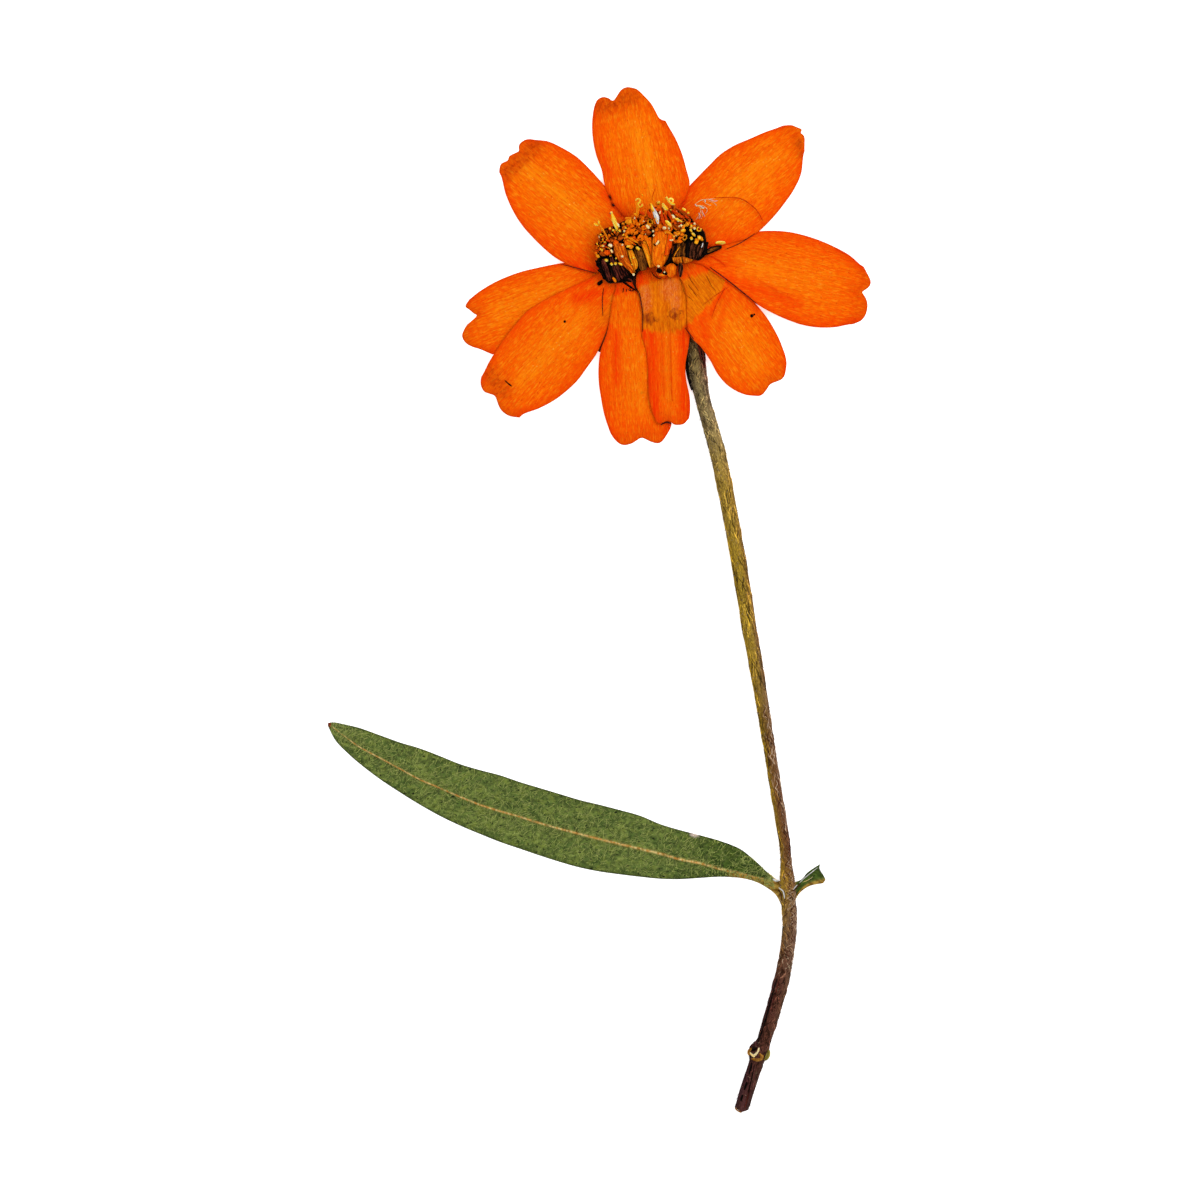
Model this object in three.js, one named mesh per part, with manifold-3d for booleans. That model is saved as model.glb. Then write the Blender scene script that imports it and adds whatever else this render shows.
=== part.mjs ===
// A pressed zinnia, lying flat: nine ray petals round a tilted disc, a thin stem, one leaf and a torn leaf stub.
// Millimetres, +Z up. X runs across the bloom, and Y runs from the cut end of the stem up to the bloom.
// The origin lies on the surface below the middle of the whole flower.

import * as THREE from "three";
import { mergeVertices } from "three/addons/utils/BufferGeometryUtils.js";
import Module from "manifold-3d";

const wasm = await Module();
wasm.setup();

// Driving dimensions
const PETAL_THICKNESS = 0.6;
const PETAL_CROWN = 0.12;
const PETAL_ROWS = 9;
const STATION_STEP = 2;
const DOME_SIDES = 20;
const LEAF_THICKNESS = 0.6;
const LEAF_STEP = 2.5;
const MIDRIB_RISE = 0.3;
const STEM_SIDES = 12;
const STEM_FLATNESS = 0.72;
const HEAD_END_FLATNESS = 0.4;
const FLATTENING_STARTS = 21;
const FLATTENING_RUN = 5;
const STUB_THICKNESS = 0.7;
const CUP_CENTRE = [8.0, 38.0];
const CUP_RADII = [7.0, 4.75];
const CUP_HEIGHT = 1.15;
const BRACT_THICKNESS = 0.6;
const BRACT_RISE = 0.22;
const RECEPTACLE_CENTRE = [7.0, 42.1];
const RECEPTACLE_RADII = [2.3, 1.4];
const RECEPTACLE_TOP = 1.65;
const DISC_CENTRE = [6.25, 44.0];
const DISC_RADII = [6.4, 4.2];
const DISC_BASE = 1.95;
const DISC_RIM = 0.25;
const DISC_DOME = 0.95;
const FLORET_COUNT = 50;
const FLORET_RADIUS = 0.42;
const FLORET_HEIGHT = 1.35;
const STYLE_RADIUS = 0.2;
const STYLE_HEIGHT = 2.0;
const FLORET_ROOT_DEPTH = 0.55;
const FLORETS_PER_STYLE = 4;
const NECK_TAPER = 0.6;
const DISC_COVER = 0.93;
const FLORET_LEAN = [0.55, 0.5];
const FLORET_LEAN_TO_TOP = 0.35;
const FLORET_UPRIGHT = 0.75;

// One ray petal is given by its root and tip, its half-widths every 2 mm from the root,
// the lobes and notch across its tip as [across, along], and how high it lies at each edge.
const petals = [
  {
    name: "lower left, behind", root: [1.0, 41.0], tip: [-16.75, 34.4],
    left: [1.0, 2.2, 2.9, 3.5, 3.9, 4.3, 4.6, 4.8, 4.8, 4.5],
    right: [1.4, 2.1, 2.8, 3.25, 3.55, 3.8, 3.85, 3.7, 3.3, 2.7],
    lobes: [
      [-4.6, 17.15], [-4.0, 17.8], [-3.4, 18.45], [-2.9, 19.1], [-2.3, 19.65], [-1.65, 19.9], [-1.05, 19.85],
      [-0.6, 19.5], [-0.15, 19.0], [0.2, 18.2], [0.6, 17.3], [1.0, 17.55], [1.55, 17.85], [2.15, 18.2],
      [2.55, 17.85], [2.85, 17.4],
    ],
    rootLift: [0.6, 0.6], tipLift: [0, 0],
  },
  {
    name: "upper left", root: [3.1, 43.75], tip: [-11.6, 55.6],
    left: [3.6, 5.2, 5.8, 6.2, 6.2, 6.0, 5.65, 4.95, 3.9, 2.5],
    right: [1.6, 2.6, 3.6, 4.4, 4.85, 5.15, 5.3, 5.05, 4.55, 3.4],
    lobes: [
      [-3.0, 17.3], [-2.4, 18.1], [-2.05, 18.5], [-1.3, 18.8], [-0.5, 18.45], [0.1, 18.6], [0.8, 18.3],
      [1.3, 18.1], [1.7, 18.4], [2.1, 18.55], [2.8, 18.4], [3.4, 17.95], [3.9, 17.3],
    ],
    rootLift: [0.95, 0.5], tipLift: [0, 0],
  },
  {
    name: "upper right", root: [10.6, 45.6], tip: [25.4, 58.75],
    left: [1.6, 3.2, 4.1, 4.35, 4.5, 4.6, 4.3, 3.65, 3.0, 2.2, 1.6],
    right: [1.8, 3.7, 4.8, 5.7, 5.8, 5.65, 5.3, 4.8, 3.9, 2.2, 1.4],
    lobes: [
      [-2.05, 18.3], [-1.5, 19.05], [-0.9, 19.4], [-0.2, 19.7], [0.1, 19.35], [0.5, 19.4], [0.9, 19.25],
      [1.4, 18.8], [2.0, 18.2],
    ],
    rootLift: [0.5, 1.15], tipLift: [0, 0],
  },
  {
    name: "top", root: [7.5, 45.0], tip: [3.6, 64.1],
    left: [1.2, 2.6, 3.9, 4.9, 5.4, 5.4, 5.7, 5.7, 5.4, 4.8, 4.4],
    right: [1.2, 2.3, 3.8, 5.0, 5.0, 4.85, 4.45, 3.8, 3.3, 3.0, 3.0],
    lobes: [
      [-5.1, 17.3], [-4.8, 18.0], [-4.2, 18.7], [-3.5, 18.95], [-2.8, 18.7], [-2.3, 18.25], [-1.8, 18.6],
      [-1.1, 19.3], [-0.4, 19.55], [0.3, 19.4], [1.0, 19.0], [1.7, 18.0], [2.3, 17.0], [2.65, 16.0],
      [3.0, 14.9], [3.6, 14.45],
    ],
    rootLift: [0.95, 0.95], tipLift: [0, 0],
  },
  {
    name: "lower left, front", root: [1.5, 40.0], tip: [-13.5, 24.0],
    left: [1.8, 2.6, 3.4, 4.2, 4.9, 5.2, 5.45, 5.35, 5.0, 4.3, 3.35],
    right: [1.6, 2.3, 3.1, 3.9, 4.6, 5.1, 5.05, 4.9, 4.6, 4.2, 3.65],
    lobes: [
      [-3.1, 20.45], [-2.65, 20.95], [-2.2, 21.2], [-1.5, 21.35], [-0.8, 21.3], [-0.1, 21.0], [0.75, 20.6],
      [1.45, 20.85], [2.1, 21.1], [2.8, 20.9], [3.3, 20.5], [3.6, 20.0],
    ],
    rootLift: [1.3, 0.9], tipLift: [0, 0.3],
  },
  {
    name: "bottom, behind", root: [3.25, 39.5], tip: [5.1, 19.9],
    left: [0.8, 1.7, 1.9, 2.3, 2.9, 3.4, 3.8, 4.1, 4.2, 4.0, 3.6],
    right: [1.2, 1.95, 2.4, 3.0, 3.95, 4.4, 4.55, 4.45, 4.25, 3.8, 3.2],
    lobes: [
      [-4.0, 18.1], [-3.75, 18.65], [-3.2, 19.4], [-2.65, 20.0], [-2.05, 20.2], [-1.2, 19.9], [-0.2, 19.35],
      [0.5, 19.6], [1.1, 19.9], [2.0, 20.05], [2.7, 19.8], [3.25, 19.2], [3.6, 18.5],
    ],
    rootLift: [1.6, 1.7], tipLift: [0, 0],
  },
  {
    name: "bottom, front", root: [8.5, 39.4], tip: [9.0, 21.9],
    left: [2.5, 2.8, 2.8, 2.6, 2.3, 1.9, 1.95, 2.3, 2.3, 1.9],
    right: [3.6, 3.45, 3.2, 3.5, 3.05, 2.85, 2.85, 2.8, 2.4, 1.6],
    lobes: [
      [-2.1, 16.75], [-1.6, 17.35], [-1.05, 17.55], [-0.3, 17.5], [0.1, 17.2], [0.5, 17.05], [0.9, 17.2],
      [1.5, 17.35], [1.9, 17.15],
    ],
    rootLift: [1.8, 1.95], tipLift: [0.3, 0.3],
  },
  {
    name: "lower right", root: [11.25, 40.6], tip: [22.25, 26.25],
    left: [1.8, 2.6, 3.3, 3.9, 4.3, 4.4, 4.2, 3.75, 2.95, 1.1],
    right: [2.5, 3.9, 4.6, 4.6, 4.4, 4.5, 4.8, 4.6, 3.65, 1.75],
    lobes: [
      [-2.2, 16.8], [-1.75, 17.15], [-1.2, 17.3], [-0.5, 17.15], [0.3, 16.95], [1.0, 17.15], [1.75, 17.35],
      [2.3, 17.25], [2.8, 16.9],
    ],
    rootLift: [1.85, 2.15], tipLift: [0, 0],
  },
  {
    name: "right", root: [12.75, 42.5], tip: [33.5, 38.4],
    left: [1.9, 3.1, 4.0, 4.8, 5.3, 5.55, 5.5, 5.25, 4.8, 4.15, 3.1],
    right: [0.6, 1.4, 2.3, 3.25, 4.2, 4.85, 5.3, 5.55, 5.45, 5.0, 4.25],
    lobes: [
      [-3.1, 20.0], [-2.6, 20.4], [-2.05, 20.85], [-1.6, 21.15], [-1.15, 21.25], [-0.7, 21.1], [-0.3, 20.75],
      [0.05, 20.45], [0.4, 20.75], [0.9, 21.15], [1.55, 21.4], [2.25, 21.45], [2.9, 21.35], [3.5, 21.05],
      [3.95, 20.5], [4.25, 20.0],
    ],
    rootLift: [0.75, 2.15], tipLift: [0, 0],
  },
];

// The stem from the head to the cut end: x, y and width.
const stemStations = [
  [11.25, 33.2, 1.7], [11.75, 31.9, 2.2], [12.1, 29.4, 2.3], [12.45, 26.9, 2.1], [12.95, 24.6, 1.95],
  [13.55, 22.5, 1.95], [14.25, 20.0, 2.0], [14.9, 17.5, 2.0], [15.4, 15.0, 2.0], [16.4, 10.0, 1.95],
  [17.25, 5.0, 1.95], [18.1, 0.0, 1.95], [18.9, -5.0, 1.8], [19.8, -10.0, 1.7], [20.6, -15.0, 1.55],
  [21.4, -20.0, 1.5], [22.2, -25.0, 1.45], [23.0, -30.0, 1.45], [23.25, -32.75, 1.45], [23.4, -35.0, 1.9],
  [23.5, -37.25, 1.95], [23.7, -40.0, 1.85], [23.55, -42.5, 1.75], [23.2, -45.0, 1.85], [22.65, -47.5, 2.0],
  [22.0, -50.0, 1.95], [21.25, -52.5, 1.95], [20.5, -55.0, 1.8], [20.0, -56.4, 2.5], [19.5, -57.75, 1.85],
  [18.9, -60.0, 1.75], [18.1, -62.5, 1.75], [17.7, -64.0, 1.65],
];

// The leaf blade's upper edge, midrib and lower edge, every 2.5 mm along X from the first station on.
const LEAF_FIRST_X = -30;
const leafUpper = [
  -16.0, -16.9, -17.8, -18.55, -19.5, -20.5, -21.25, -21.9, -22.75, -23.5, -24.25, -25.0, -25.6, -26.25, -26.95,
  -28.0, -28.75, -29.4, -30.1, -31.1,
];
const leafMidrib = [
  -18.4, -19.75, -21.1, -22.45, -23.5, -24.6, -25.6, -26.4, -27.1, -27.9, -28.6, -29.25, -29.9, -30.5, -31.1,
  -31.7, -32.4, -32.9, -33.6, -34.2,
];
const leafLower = [
  -20.5, -22.4, -24.05, -25.6, -27.0, -28.2, -29.25, -30.25, -31.1, -31.95, -32.75, -33.45, -33.95, -34.3, -34.6,
  -34.85, -34.9, -34.75, -34.6, -34.75,
];
// Leaf tip and petiole: x, upper edge, midrib and lower edge.
const leafTip = [[-34.0, -15.35, -15.5, -15.75], [-33.1, -15.3, -16.1, -17.5], [-31.7, -15.6, -17.2, -19.0]];
const petiole = [[19.4, -32.6, -34.7, -35.2], [20.9, -34.0, -35.0, -36.1], [22.0, -34.9, -35.4, -36.9]];

// Outline of the torn leaf stub across the node from the leaf.
const stubOutline = [
  [24.75, -35.1], [25.4, -34.75], [26.0, -34.0], [27.5, -33.0], [27.5, -34.0], [28.1, -35.1], [27.9, -35.4],
  [26.5, -35.65], [25.4, -36.1], [24.85, -36.9],
];

// Bracts of the green cup: root, tip and half-width, the outer row last.
const bracts = [
  { root: [8.6, 36.2], tip: [1.7, 38.2], halfWidth: 1.5 },
  { root: [8.6, 36.2], tip: [4.2, 40.6], halfWidth: 1.5 },
  { root: [8.8, 36.2], tip: [7.4, 41.6], halfWidth: 1.5 },
  { root: [9.0, 36.2], tip: [10.8, 41.3], halfWidth: 1.5 },
  { root: [9.2, 36.0], tip: [14.2, 38.6], halfWidth: 1.5 },
  { root: [9.0, 34.6], tip: [3.0, 35.2], halfWidth: 1.2 },
  { root: [9.4, 34.4], tip: [6.1, 35.4], halfWidth: 1.1 },
  { root: [9.8, 34.4], tip: [9.4, 36.2], halfWidth: 1.1 },
  { root: [10.2, 34.4], tip: [12.4, 35.8], halfWidth: 1.1 },
];
const spreadBract = { root: [4.6, 35.4], tip: [0.1, 30.9], halfWidth: 0.9 };

function mix(a, b, t) {
  return a + (b - a) * t;
}

function ease(t) {
  const c = Math.min(1, Math.max(0, t));
  return c * c * (3 - 2 * c);
}

// Reads a list of values at even steps as a smooth curve.
function along(values, step, at) {
  const place = Math.min(values.length - 1.001, Math.max(0, at / step));
  const i = Math.floor(place);
  const t = place - i;
  const a = values[Math.max(0, i - 1)];
  const b = values[i];
  const c = values[i + 1];
  const d = values[Math.min(values.length - 1, i + 2)];
  return b + 0.5 * t * (c - a + t * (2 * a - 5 * b + 4 * c - d + t * (3 * (b - c) + d - a)));
}

// A closed sheet from a grid of places. Columns run from left to right, rows from root to tip.
function closedSheet(columns, rows, placeAt) {
  const positions = [];
  const index = [];
  const layer = columns * rows;
  for (const face of ["low", "high"]) {
    for (let j = 0; j < columns; j += 1) {
      for (let i = 0; i < rows; i += 1) {
        const place = placeAt(j, i);
        positions.push(place.x, place.y, place[face]);
      }
    }
  }
  const low = (j, i) => j * rows + i;
  const high = (j, i) => layer + low(j, i);
  const quad = (a, b, c, d) => index.push(a, b, c, a, c, d);
  for (let j = 0; j < columns - 1; j += 1) {
    for (let i = 0; i < rows - 1; i += 1) {
      quad(high(j, i), high(j + 1, i), high(j + 1, i + 1), high(j, i + 1));
      index.push(low(j, i), low(j + 1, i + 1), low(j + 1, i));
      index.push(low(j, i), low(j, i + 1), low(j + 1, i + 1));
    }
    quad(low(j, 0), low(j + 1, 0), high(j + 1, 0), high(j, 0));
    quad(low(j + 1, rows - 1), low(j, rows - 1), high(j, rows - 1), high(j + 1, rows - 1));
  }
  for (let i = 0; i < rows - 1; i += 1) {
    quad(low(columns - 1, i), low(columns - 1, i + 1), high(columns - 1, i + 1), high(columns - 1, i));
    quad(low(0, i + 1), low(0, i), high(0, i), high(0, i + 1));
  }
  const geometry = new THREE.BufferGeometry();
  geometry.setAttribute("position", new THREE.Float32BufferAttribute(positions, 3));
  geometry.setIndex(index);
  return geometry;
}

// A closed tube through rings of points, with flat ends.
function closedTube(rings) {
  const sides = rings[0].length;
  const positions = rings.flat().flatMap((p) => [p.x, p.y, p.z]);
  const index = [];
  for (let r = 0; r < rings.length - 1; r += 1) {
    for (let k = 0; k < sides; k += 1) {
      const a = r * sides + k;
      const b = r * sides + ((k + 1) % sides);
      index.push(a, b, b + sides, a, b + sides, a + sides);
    }
  }
  const last = (rings.length - 1) * sides;
  for (let k = 1; k < sides - 1; k += 1) {
    index.push(0, k + 1, k);
    index.push(last, last + k, last + k + 1);
  }
  const geometry = new THREE.BufferGeometry();
  geometry.setAttribute("position", new THREE.Float32BufferAttribute(positions, 3));
  geometry.setIndex(index);
  return geometry;
}

function toSolid(geometry) {
  const bare = geometry.clone();
  bare.deleteAttribute("normal");
  bare.deleteAttribute("uv");
  const merged = mergeVertices(bare, 1e-5);
  return new wasm.Manifold(new wasm.Mesh({
    numProp: 3,
    vertProperties: new Float32Array(merged.attributes.position.array),
    triVerts: new Uint32Array(merged.index.array),
  }));
}

// Joins closed geometries into one body.
function join(geometries) {
  let body = toSolid(geometries[0]);
  for (const geometry of geometries.slice(1)) {
    body = body.add(toSolid(geometry));
  }
  const mesh = body.getMesh();
  const joined = new THREE.BufferGeometry();
  joined.setAttribute("position", new THREE.Float32BufferAttribute(mesh.vertProperties, 3));
  joined.setIndex(Array.from(mesh.triVerts));
  return joined;
}

function petalGeometry(petal) {
  const [rootX, rootY] = petal.root;
  const length = Math.hypot(petal.tip[0] - rootX, petal.tip[1] - rootY);
  const ax = (petal.tip[0] - rootX) / length;
  const ay = (petal.tip[1] - rootY) / length;
  const halfWidth = (side, at) => along(side < 0 ? petal.left : petal.right, STATION_STEP, at);
  const columns = petal.lobes.map(([across, reach], j) => {
    const edge = j === 0 ? -1 : j === petal.lobes.length - 1 ? 1 : across / halfWidth(across, reach);
    return { side: edge, reach };
  });
  return closedSheet(columns.length, PETAL_ROWS, (j, i) => {
    const { side, reach } = columns[j];
    const out = reach * (i / (PETAL_ROWS - 1));
    const across = side * halfWidth(side, out);
    const fall = ease(out / length);
    const toRight = (side + 1) / 2;
    const lift = mix(
      mix(petal.rootLift[0], petal.rootLift[1], toRight),
      mix(petal.tipLift[0], petal.tipLift[1], toRight),
      fall,
    );
    const crown = PETAL_CROWN * (1 - side * side) * Math.sin(Math.PI * fall);
    return {
      x: rootX + ax * out + ay * across,
      y: rootY + ay * out - ax * across,
      low: lift + crown,
      high: lift + crown + PETAL_THICKNESS,
    };
  });
}

// Height of the cup's dome over a place, zero at its rim.
function cupHeight(x, y) {
  const r = Math.hypot((x - CUP_CENTRE[0]) / CUP_RADII[0], (y - CUP_CENTRE[1]) / CUP_RADII[1]);
  return CUP_HEIGHT * Math.sqrt(Math.max(0, 1 - r * r));
}

// A bract is a round-tipped tongue that follows the dome and stands a little above it.
function bractGeometry({ root, tip, halfWidth }) {
  const rows = 5;
  const columns = 5;
  const tipRounding = 0.3;
  const rootWidth = 0.76;
  const length = Math.hypot(tip[0] - root[0], tip[1] - root[1]);
  const ax = (tip[0] - root[0]) / length;
  const ay = (tip[1] - root[1]) / length;
  return closedSheet(columns, rows, (j, i) => {
    const side = (2 * j) / (columns - 1) - 1;
    const t = i / (rows - 1);
    const out = length * t * (1 - tipRounding * side * side * t);
    const across = side * halfWidth * mix(rootWidth, 1, Math.sin(Math.PI * 0.7 * t));
    const x = root[0] + ax * out + ay * across;
    const y = root[1] + ay * out - ax * across;
    const high = Math.max(BRACT_THICKNESS, cupHeight(x, y) + BRACT_RISE * (1 - 0.5 * side * side));
    return { x, y, low: 0, high };
  });
}

// A low dome with a flat underside, on an oval: step is the height of its rim.
function domeGeometry([centreX, centreY], [radiusX, radiusY], base, step, rise) {
  const dome = new THREE.SphereGeometry(1, DOME_SIDES, 8);
  const place = dome.attributes.position;
  for (let i = 0; i < place.count; i += 1) {
    const x = centreX + radiusX * place.getX(i);
    const y = centreY - radiusY * place.getZ(i);
    const up = place.getY(i);
    place.setXYZ(i, x, y, up > 1e-6 ? base + step + rise * up : base);
  }
  return dome;
}

// The cup is pressed flat. Its bracts overlap over a low dome, and the receptacle rises from it under the disc.
function involucreGeometry() {
  const cup = domeGeometry(CUP_CENTRE, CUP_RADII, 0, 0.1, CUP_HEIGHT - 0.1);
  const receptacle = new THREE.CylinderGeometry(0.8, 1, RECEPTACLE_TOP - 0.2, 10, 1);
  receptacle.rotateX(Math.PI / 2);
  receptacle.scale(RECEPTACLE_RADII[0], RECEPTACLE_RADII[1], 1);
  receptacle.translate(RECEPTACLE_CENTRE[0], RECEPTACLE_CENTRE[1], RECEPTACLE_TOP / 2 + 0.1);
  return join([cup, receptacle, ...bracts.map(bractGeometry), bractGeometry(spreadBract)]);
}

// The disc: a low dark dome with small tubular florets leaning out and up from it.
function discGeometry() {
  const pieces = [domeGeometry(DISC_CENTRE, DISC_RADII, DISC_BASE, DISC_RIM, DISC_DOME)];
  const goldenAngle = Math.PI * (3 - Math.sqrt(5));
  const up = new THREE.Vector3(0, 1, 0);
  for (let n = 0; n < FLORET_COUNT; n += 1) {
    const r = Math.sqrt((n + 0.5) / FLORET_COUNT) * DISC_COVER;
    const angle = n * goldenAngle;
    const isStyle = n % FLORETS_PER_STYLE === FLORETS_PER_STYLE - 1;
    const x = r * Math.cos(angle);
    const y = r * Math.sin(angle);
    const foot = new THREE.Vector3(
      DISC_CENTRE[0] + DISC_RADII[0] * x,
      DISC_CENTRE[1] + DISC_RADII[1] * y,
      DISC_BASE + DISC_RIM + DISC_DOME * Math.sqrt(1 - r * r),
    );
    const lean = new THREE.Vector3(x * FLORET_LEAN[0], y * FLORET_LEAN[1] + FLORET_LEAN_TO_TOP, FLORET_UPRIGHT);
    const height = isStyle ? STYLE_HEIGHT : FLORET_HEIGHT;
    const radius = isStyle ? STYLE_RADIUS : FLORET_RADIUS;
    const floret = new THREE.CylinderGeometry(radius, radius * NECK_TAPER, height, 5, 1);
    floret.translate(0, height / 2 - FLORET_ROOT_DEPTH, 0);
    floret.applyQuaternion(new THREE.Quaternion().setFromUnitVectors(up, lean.normalize()));
    floret.translate(foot.x, foot.y, foot.z);
    pieces.push(floret);
  }
  return join(pieces);
}

function stemGeometry() {
  const path = new THREE.CatmullRomCurve3(stemStations.map(([x, y, width]) => new THREE.Vector3(x, y, width)));
  const steps = (stemStations.length - 1) * 2;
  const rings = [];
  for (let s = 0; s <= steps; s += 1) {
    const here = path.getPoint(s / steps);
    const along2d = path.getTangent(s / steps).setZ(0).normalize();
    const across = new THREE.Vector3(-along2d.y, along2d.x, 0);
    const flatness = mix(STEM_FLATNESS, HEAD_END_FLATNESS, ease((here.y - FLATTENING_STARTS) / FLATTENING_RUN));
    const height = here.z * flatness;
    const ring = [];
    for (let k = 0; k < STEM_SIDES; k += 1) {
      const angle = (2 * Math.PI * (k + 0.5)) / STEM_SIDES;
      const side = (Math.cos(angle) * here.z) / 2;
      const z = Math.max(0, height * (0.46 + 0.54 * Math.sin(angle)));
      ring.push(new THREE.Vector3(here.x + across.x * side, here.y + across.y * side, z));
    }
    rings.push(ring);
  }
  return closedTube(rings);
}

function leafGeometry() {
  const stations = leafUpper.map((upper, i) => [LEAF_FIRST_X + i * LEAF_STEP, upper, leafMidrib[i], leafLower[i]]);
  const sections = [...leafTip, ...stations, ...petiole];
  const fractions = [0, 0.35, 0.85, 1, 1.15, 1.65, 2];
  return closedSheet(fractions.length, sections.length, (j, i) => {
    const [x, upper, midrib, lower] = sections[sections.length - 1 - i];
    const f = fractions[j];
    const y = f < 1 ? mix(lower, midrib, f) : mix(midrib, upper, f - 1);
    const rib = Math.max(0, 1 - Math.abs(f - 1) / 0.4);
    const high = LEAF_THICKNESS + MIDRIB_RISE * rib;
    return { x, y, low: 0, high };
  });
}

function stubGeometry() {
  const outline = new THREE.Shape(stubOutline.map(([x, y]) => new THREE.Vector2(x, y)));
  return new THREE.ExtrudeGeometry(outline, { depth: STUB_THICKNESS, bevelEnabled: false });
}

function part(name, geometry, color, roughness) {
  const mesh = new THREE.Mesh(geometry, new THREE.MeshStandardMaterial({ color, roughness, metalness: 0 }));
  mesh.name = name;
  return mesh;
}

const flower = new THREE.Group();
flower.add(
  part("ray_petals", join(petals.map(petalGeometry)), "#f26a10", 0.7),
  part("disc_florets", discGeometry(), "#a8601c", 0.8),
  part("involucre", involucreGeometry(), "#8d8440", 0.8),
  part("stem", stemGeometry(), "#6f6438", 0.75),
  part("leaf", leafGeometry(), "#4d7237", 0.8),
  part("leaf_stub", stubGeometry(), "#587a3b", 0.8),
);

export default flower;
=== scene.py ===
# A pressed and dried orange zinnia on a pale floor, seen from straight above.
# Sizes are millimetres until a mesh is made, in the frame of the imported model.

import math
import random

import bpy
import numpy as np
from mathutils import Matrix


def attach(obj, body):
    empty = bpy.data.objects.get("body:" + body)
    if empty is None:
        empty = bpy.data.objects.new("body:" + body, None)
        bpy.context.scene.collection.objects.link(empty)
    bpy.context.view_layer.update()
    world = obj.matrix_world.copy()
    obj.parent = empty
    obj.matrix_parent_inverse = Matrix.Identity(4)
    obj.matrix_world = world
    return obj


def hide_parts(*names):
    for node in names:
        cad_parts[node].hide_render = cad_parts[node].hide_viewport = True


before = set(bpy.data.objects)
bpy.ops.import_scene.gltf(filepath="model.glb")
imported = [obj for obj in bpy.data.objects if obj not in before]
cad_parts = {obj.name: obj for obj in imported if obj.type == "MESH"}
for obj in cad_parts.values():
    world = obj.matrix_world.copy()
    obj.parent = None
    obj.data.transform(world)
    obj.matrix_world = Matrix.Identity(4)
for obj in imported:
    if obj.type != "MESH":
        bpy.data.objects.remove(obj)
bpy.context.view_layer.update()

MM = 0.001

TINY = 1e-9

# Camera and light
VIEW_WIDTH = 150.0
LENS = 600.0
SENSOR = 36.0
LIGHT_LEVEL = 1.13
WORLD_LIGHT = 0.76
FLOOR_GLOW = 0.6
CLIP_END = 20.0
FLOOR_SIZE = 8000.0
FLOOR_LEVEL = -0.02
WHITE = (1.0, 1.0, 1.0, 1.0)
FLOOR_COLOUR = (0.97, 0.97, 0.97, 1.0)
# Lamps aimed at the middle: name, place in metres, power and size.
lamps = (
    ("key_light", (0.4, 0.35, 0.7), 3.5, 0.45),
    ("fill_light", (-0.5, -0.2, 0.7), 0.9, 0.6),
)

# Petals, with the colours that are marked on them. The crease colour is painted shade along each fold; the
# rim is the petal's darker margin and partly painted shade where an edge lies over another petal.
PETAL_MARKS = ("deep", "light", "gold", "pink", "brown", "aged", "crease", "dark", "rim")
STATION_STEP = 2.0
PETAL_CROWN = 0.12
PETAL_BODY = 0.14
PETAL_EDGE = 0.05
PETAL_EDGE_WIDTH = 0.6
PETAL_LOWEST = 0.01
PETAL_ROWS = 118
CLAW_DROP = 0.45
TIP_STEPS = 5
LEAST_LOBE = 0.02
VEINS = 11
VEIN_HEIGHT = 0.022
WAVE_HEIGHT = 0.05
CURL_HEIGHT = 0.16
CREASE_HEIGHT = 0.12
CREASE_SPREAD = 2.2
FOLD_HEIGHT = 0.14
FOLD_PITCH = 2.6
TIP_RISE = 0.25
EDGE_REDNESS = 0.6
TIP_REDNESS = 0.3
MIDDLE_LIGHT = 0.5
TIP_AGE = 0.35
# Darker rim along a petal's edge: its own margin, partly painted shade where the edge lies over another
# petal.
RIM_STRENGTH = 0.65
RIM_WIDTH = 0.16

# How layers are laid on one another
CELL = 0.2
LAYER_GAP = 0.03
REST_ROUNDS = 30
HEAD_CORNERS = ((-36.0, 16.0), (36.0, 66.0))
STALK_CORNERS = ((-36.0, -66.0), (30.0, 35.0))

# Seeds of the random draws
PETAL_SEED = 100
STEM_SEED = 7
LEAF_WAVE_SEED = 31
LEAF_HAIR_SEED = 12
BED_SEED = 5
FLORET_SEED = 21
CRUMB_SEED = 4
GRAIN_SEED = 8
FAN_SEEDS = (40, 60)

# How far each part's pattern of colour is shifted from that of the one before
PETAL_SHIFT = 9.0
BRACT_SHIFT = 5.0
STUB_SHIFT = 3.0
STRAP_SHIFT = 3.7
FLORET_SHIFT = 1.3
ROD_SHIFT = 1.7

# Stem
STEM_SIDES = 44
RIBS = 7
RIB_DEPTH = 0.035
FINE_RIBS = 15
FINE_RIB_DEPTH = 0.015
STEM_HAIRS = 700
STEM_HAIR_LENGTHS = (0.25, 0.7)
STEM_HAIR_RADII = (0.028, 0.008)
STEM_HAIR_COLOURS = ((140, 108, 70), (206, 182, 150), (92, 62, 40))
STRANDS = 620
STRAND_POINTS = 5
STRAND_SIDES = 4
STRAND_RADIUS = 0.075
STRAND_DRIFT = 1.6
STRAND_SWING = 0.6
CURLED_SWING = 2.4
STRAND_SHADES = (0.25, 0.45, 1.5, 2.0, 2.6)
CURL_TONES = ((204, 172, 142), (178, 142, 108), (86, 44, 28), (70, 36, 22))
CURLS_FROM = -12.0
CURLS_TO = -46.0
# The curls lie on this share of the sides, from the right one on.
CURLS_SHARE = 0.3
# The share of the hairs that is missing below the curls.
BARE_SHARE = 0.8
HAIR_DROP = 0.12
CUT_LENGTH = 1.2
CUT_SLANT = 0.45
DENT_DEPTH = 0.02
STEM_STEPS = 10
# The stem's middle as a share of its height, and how far its round reaches up and down from there.
STEM_MIDDLE_SHARE = 0.46
STEM_ROUND_SHARE = 0.54
STEM_SLIMMING = 0.04
STEM_FLATNESS = 0.72
HEAD_END_FLATNESS = 0.4
FLATTENING_STARTS = 21.0
FLATTENING_RUN = 5.0

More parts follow.
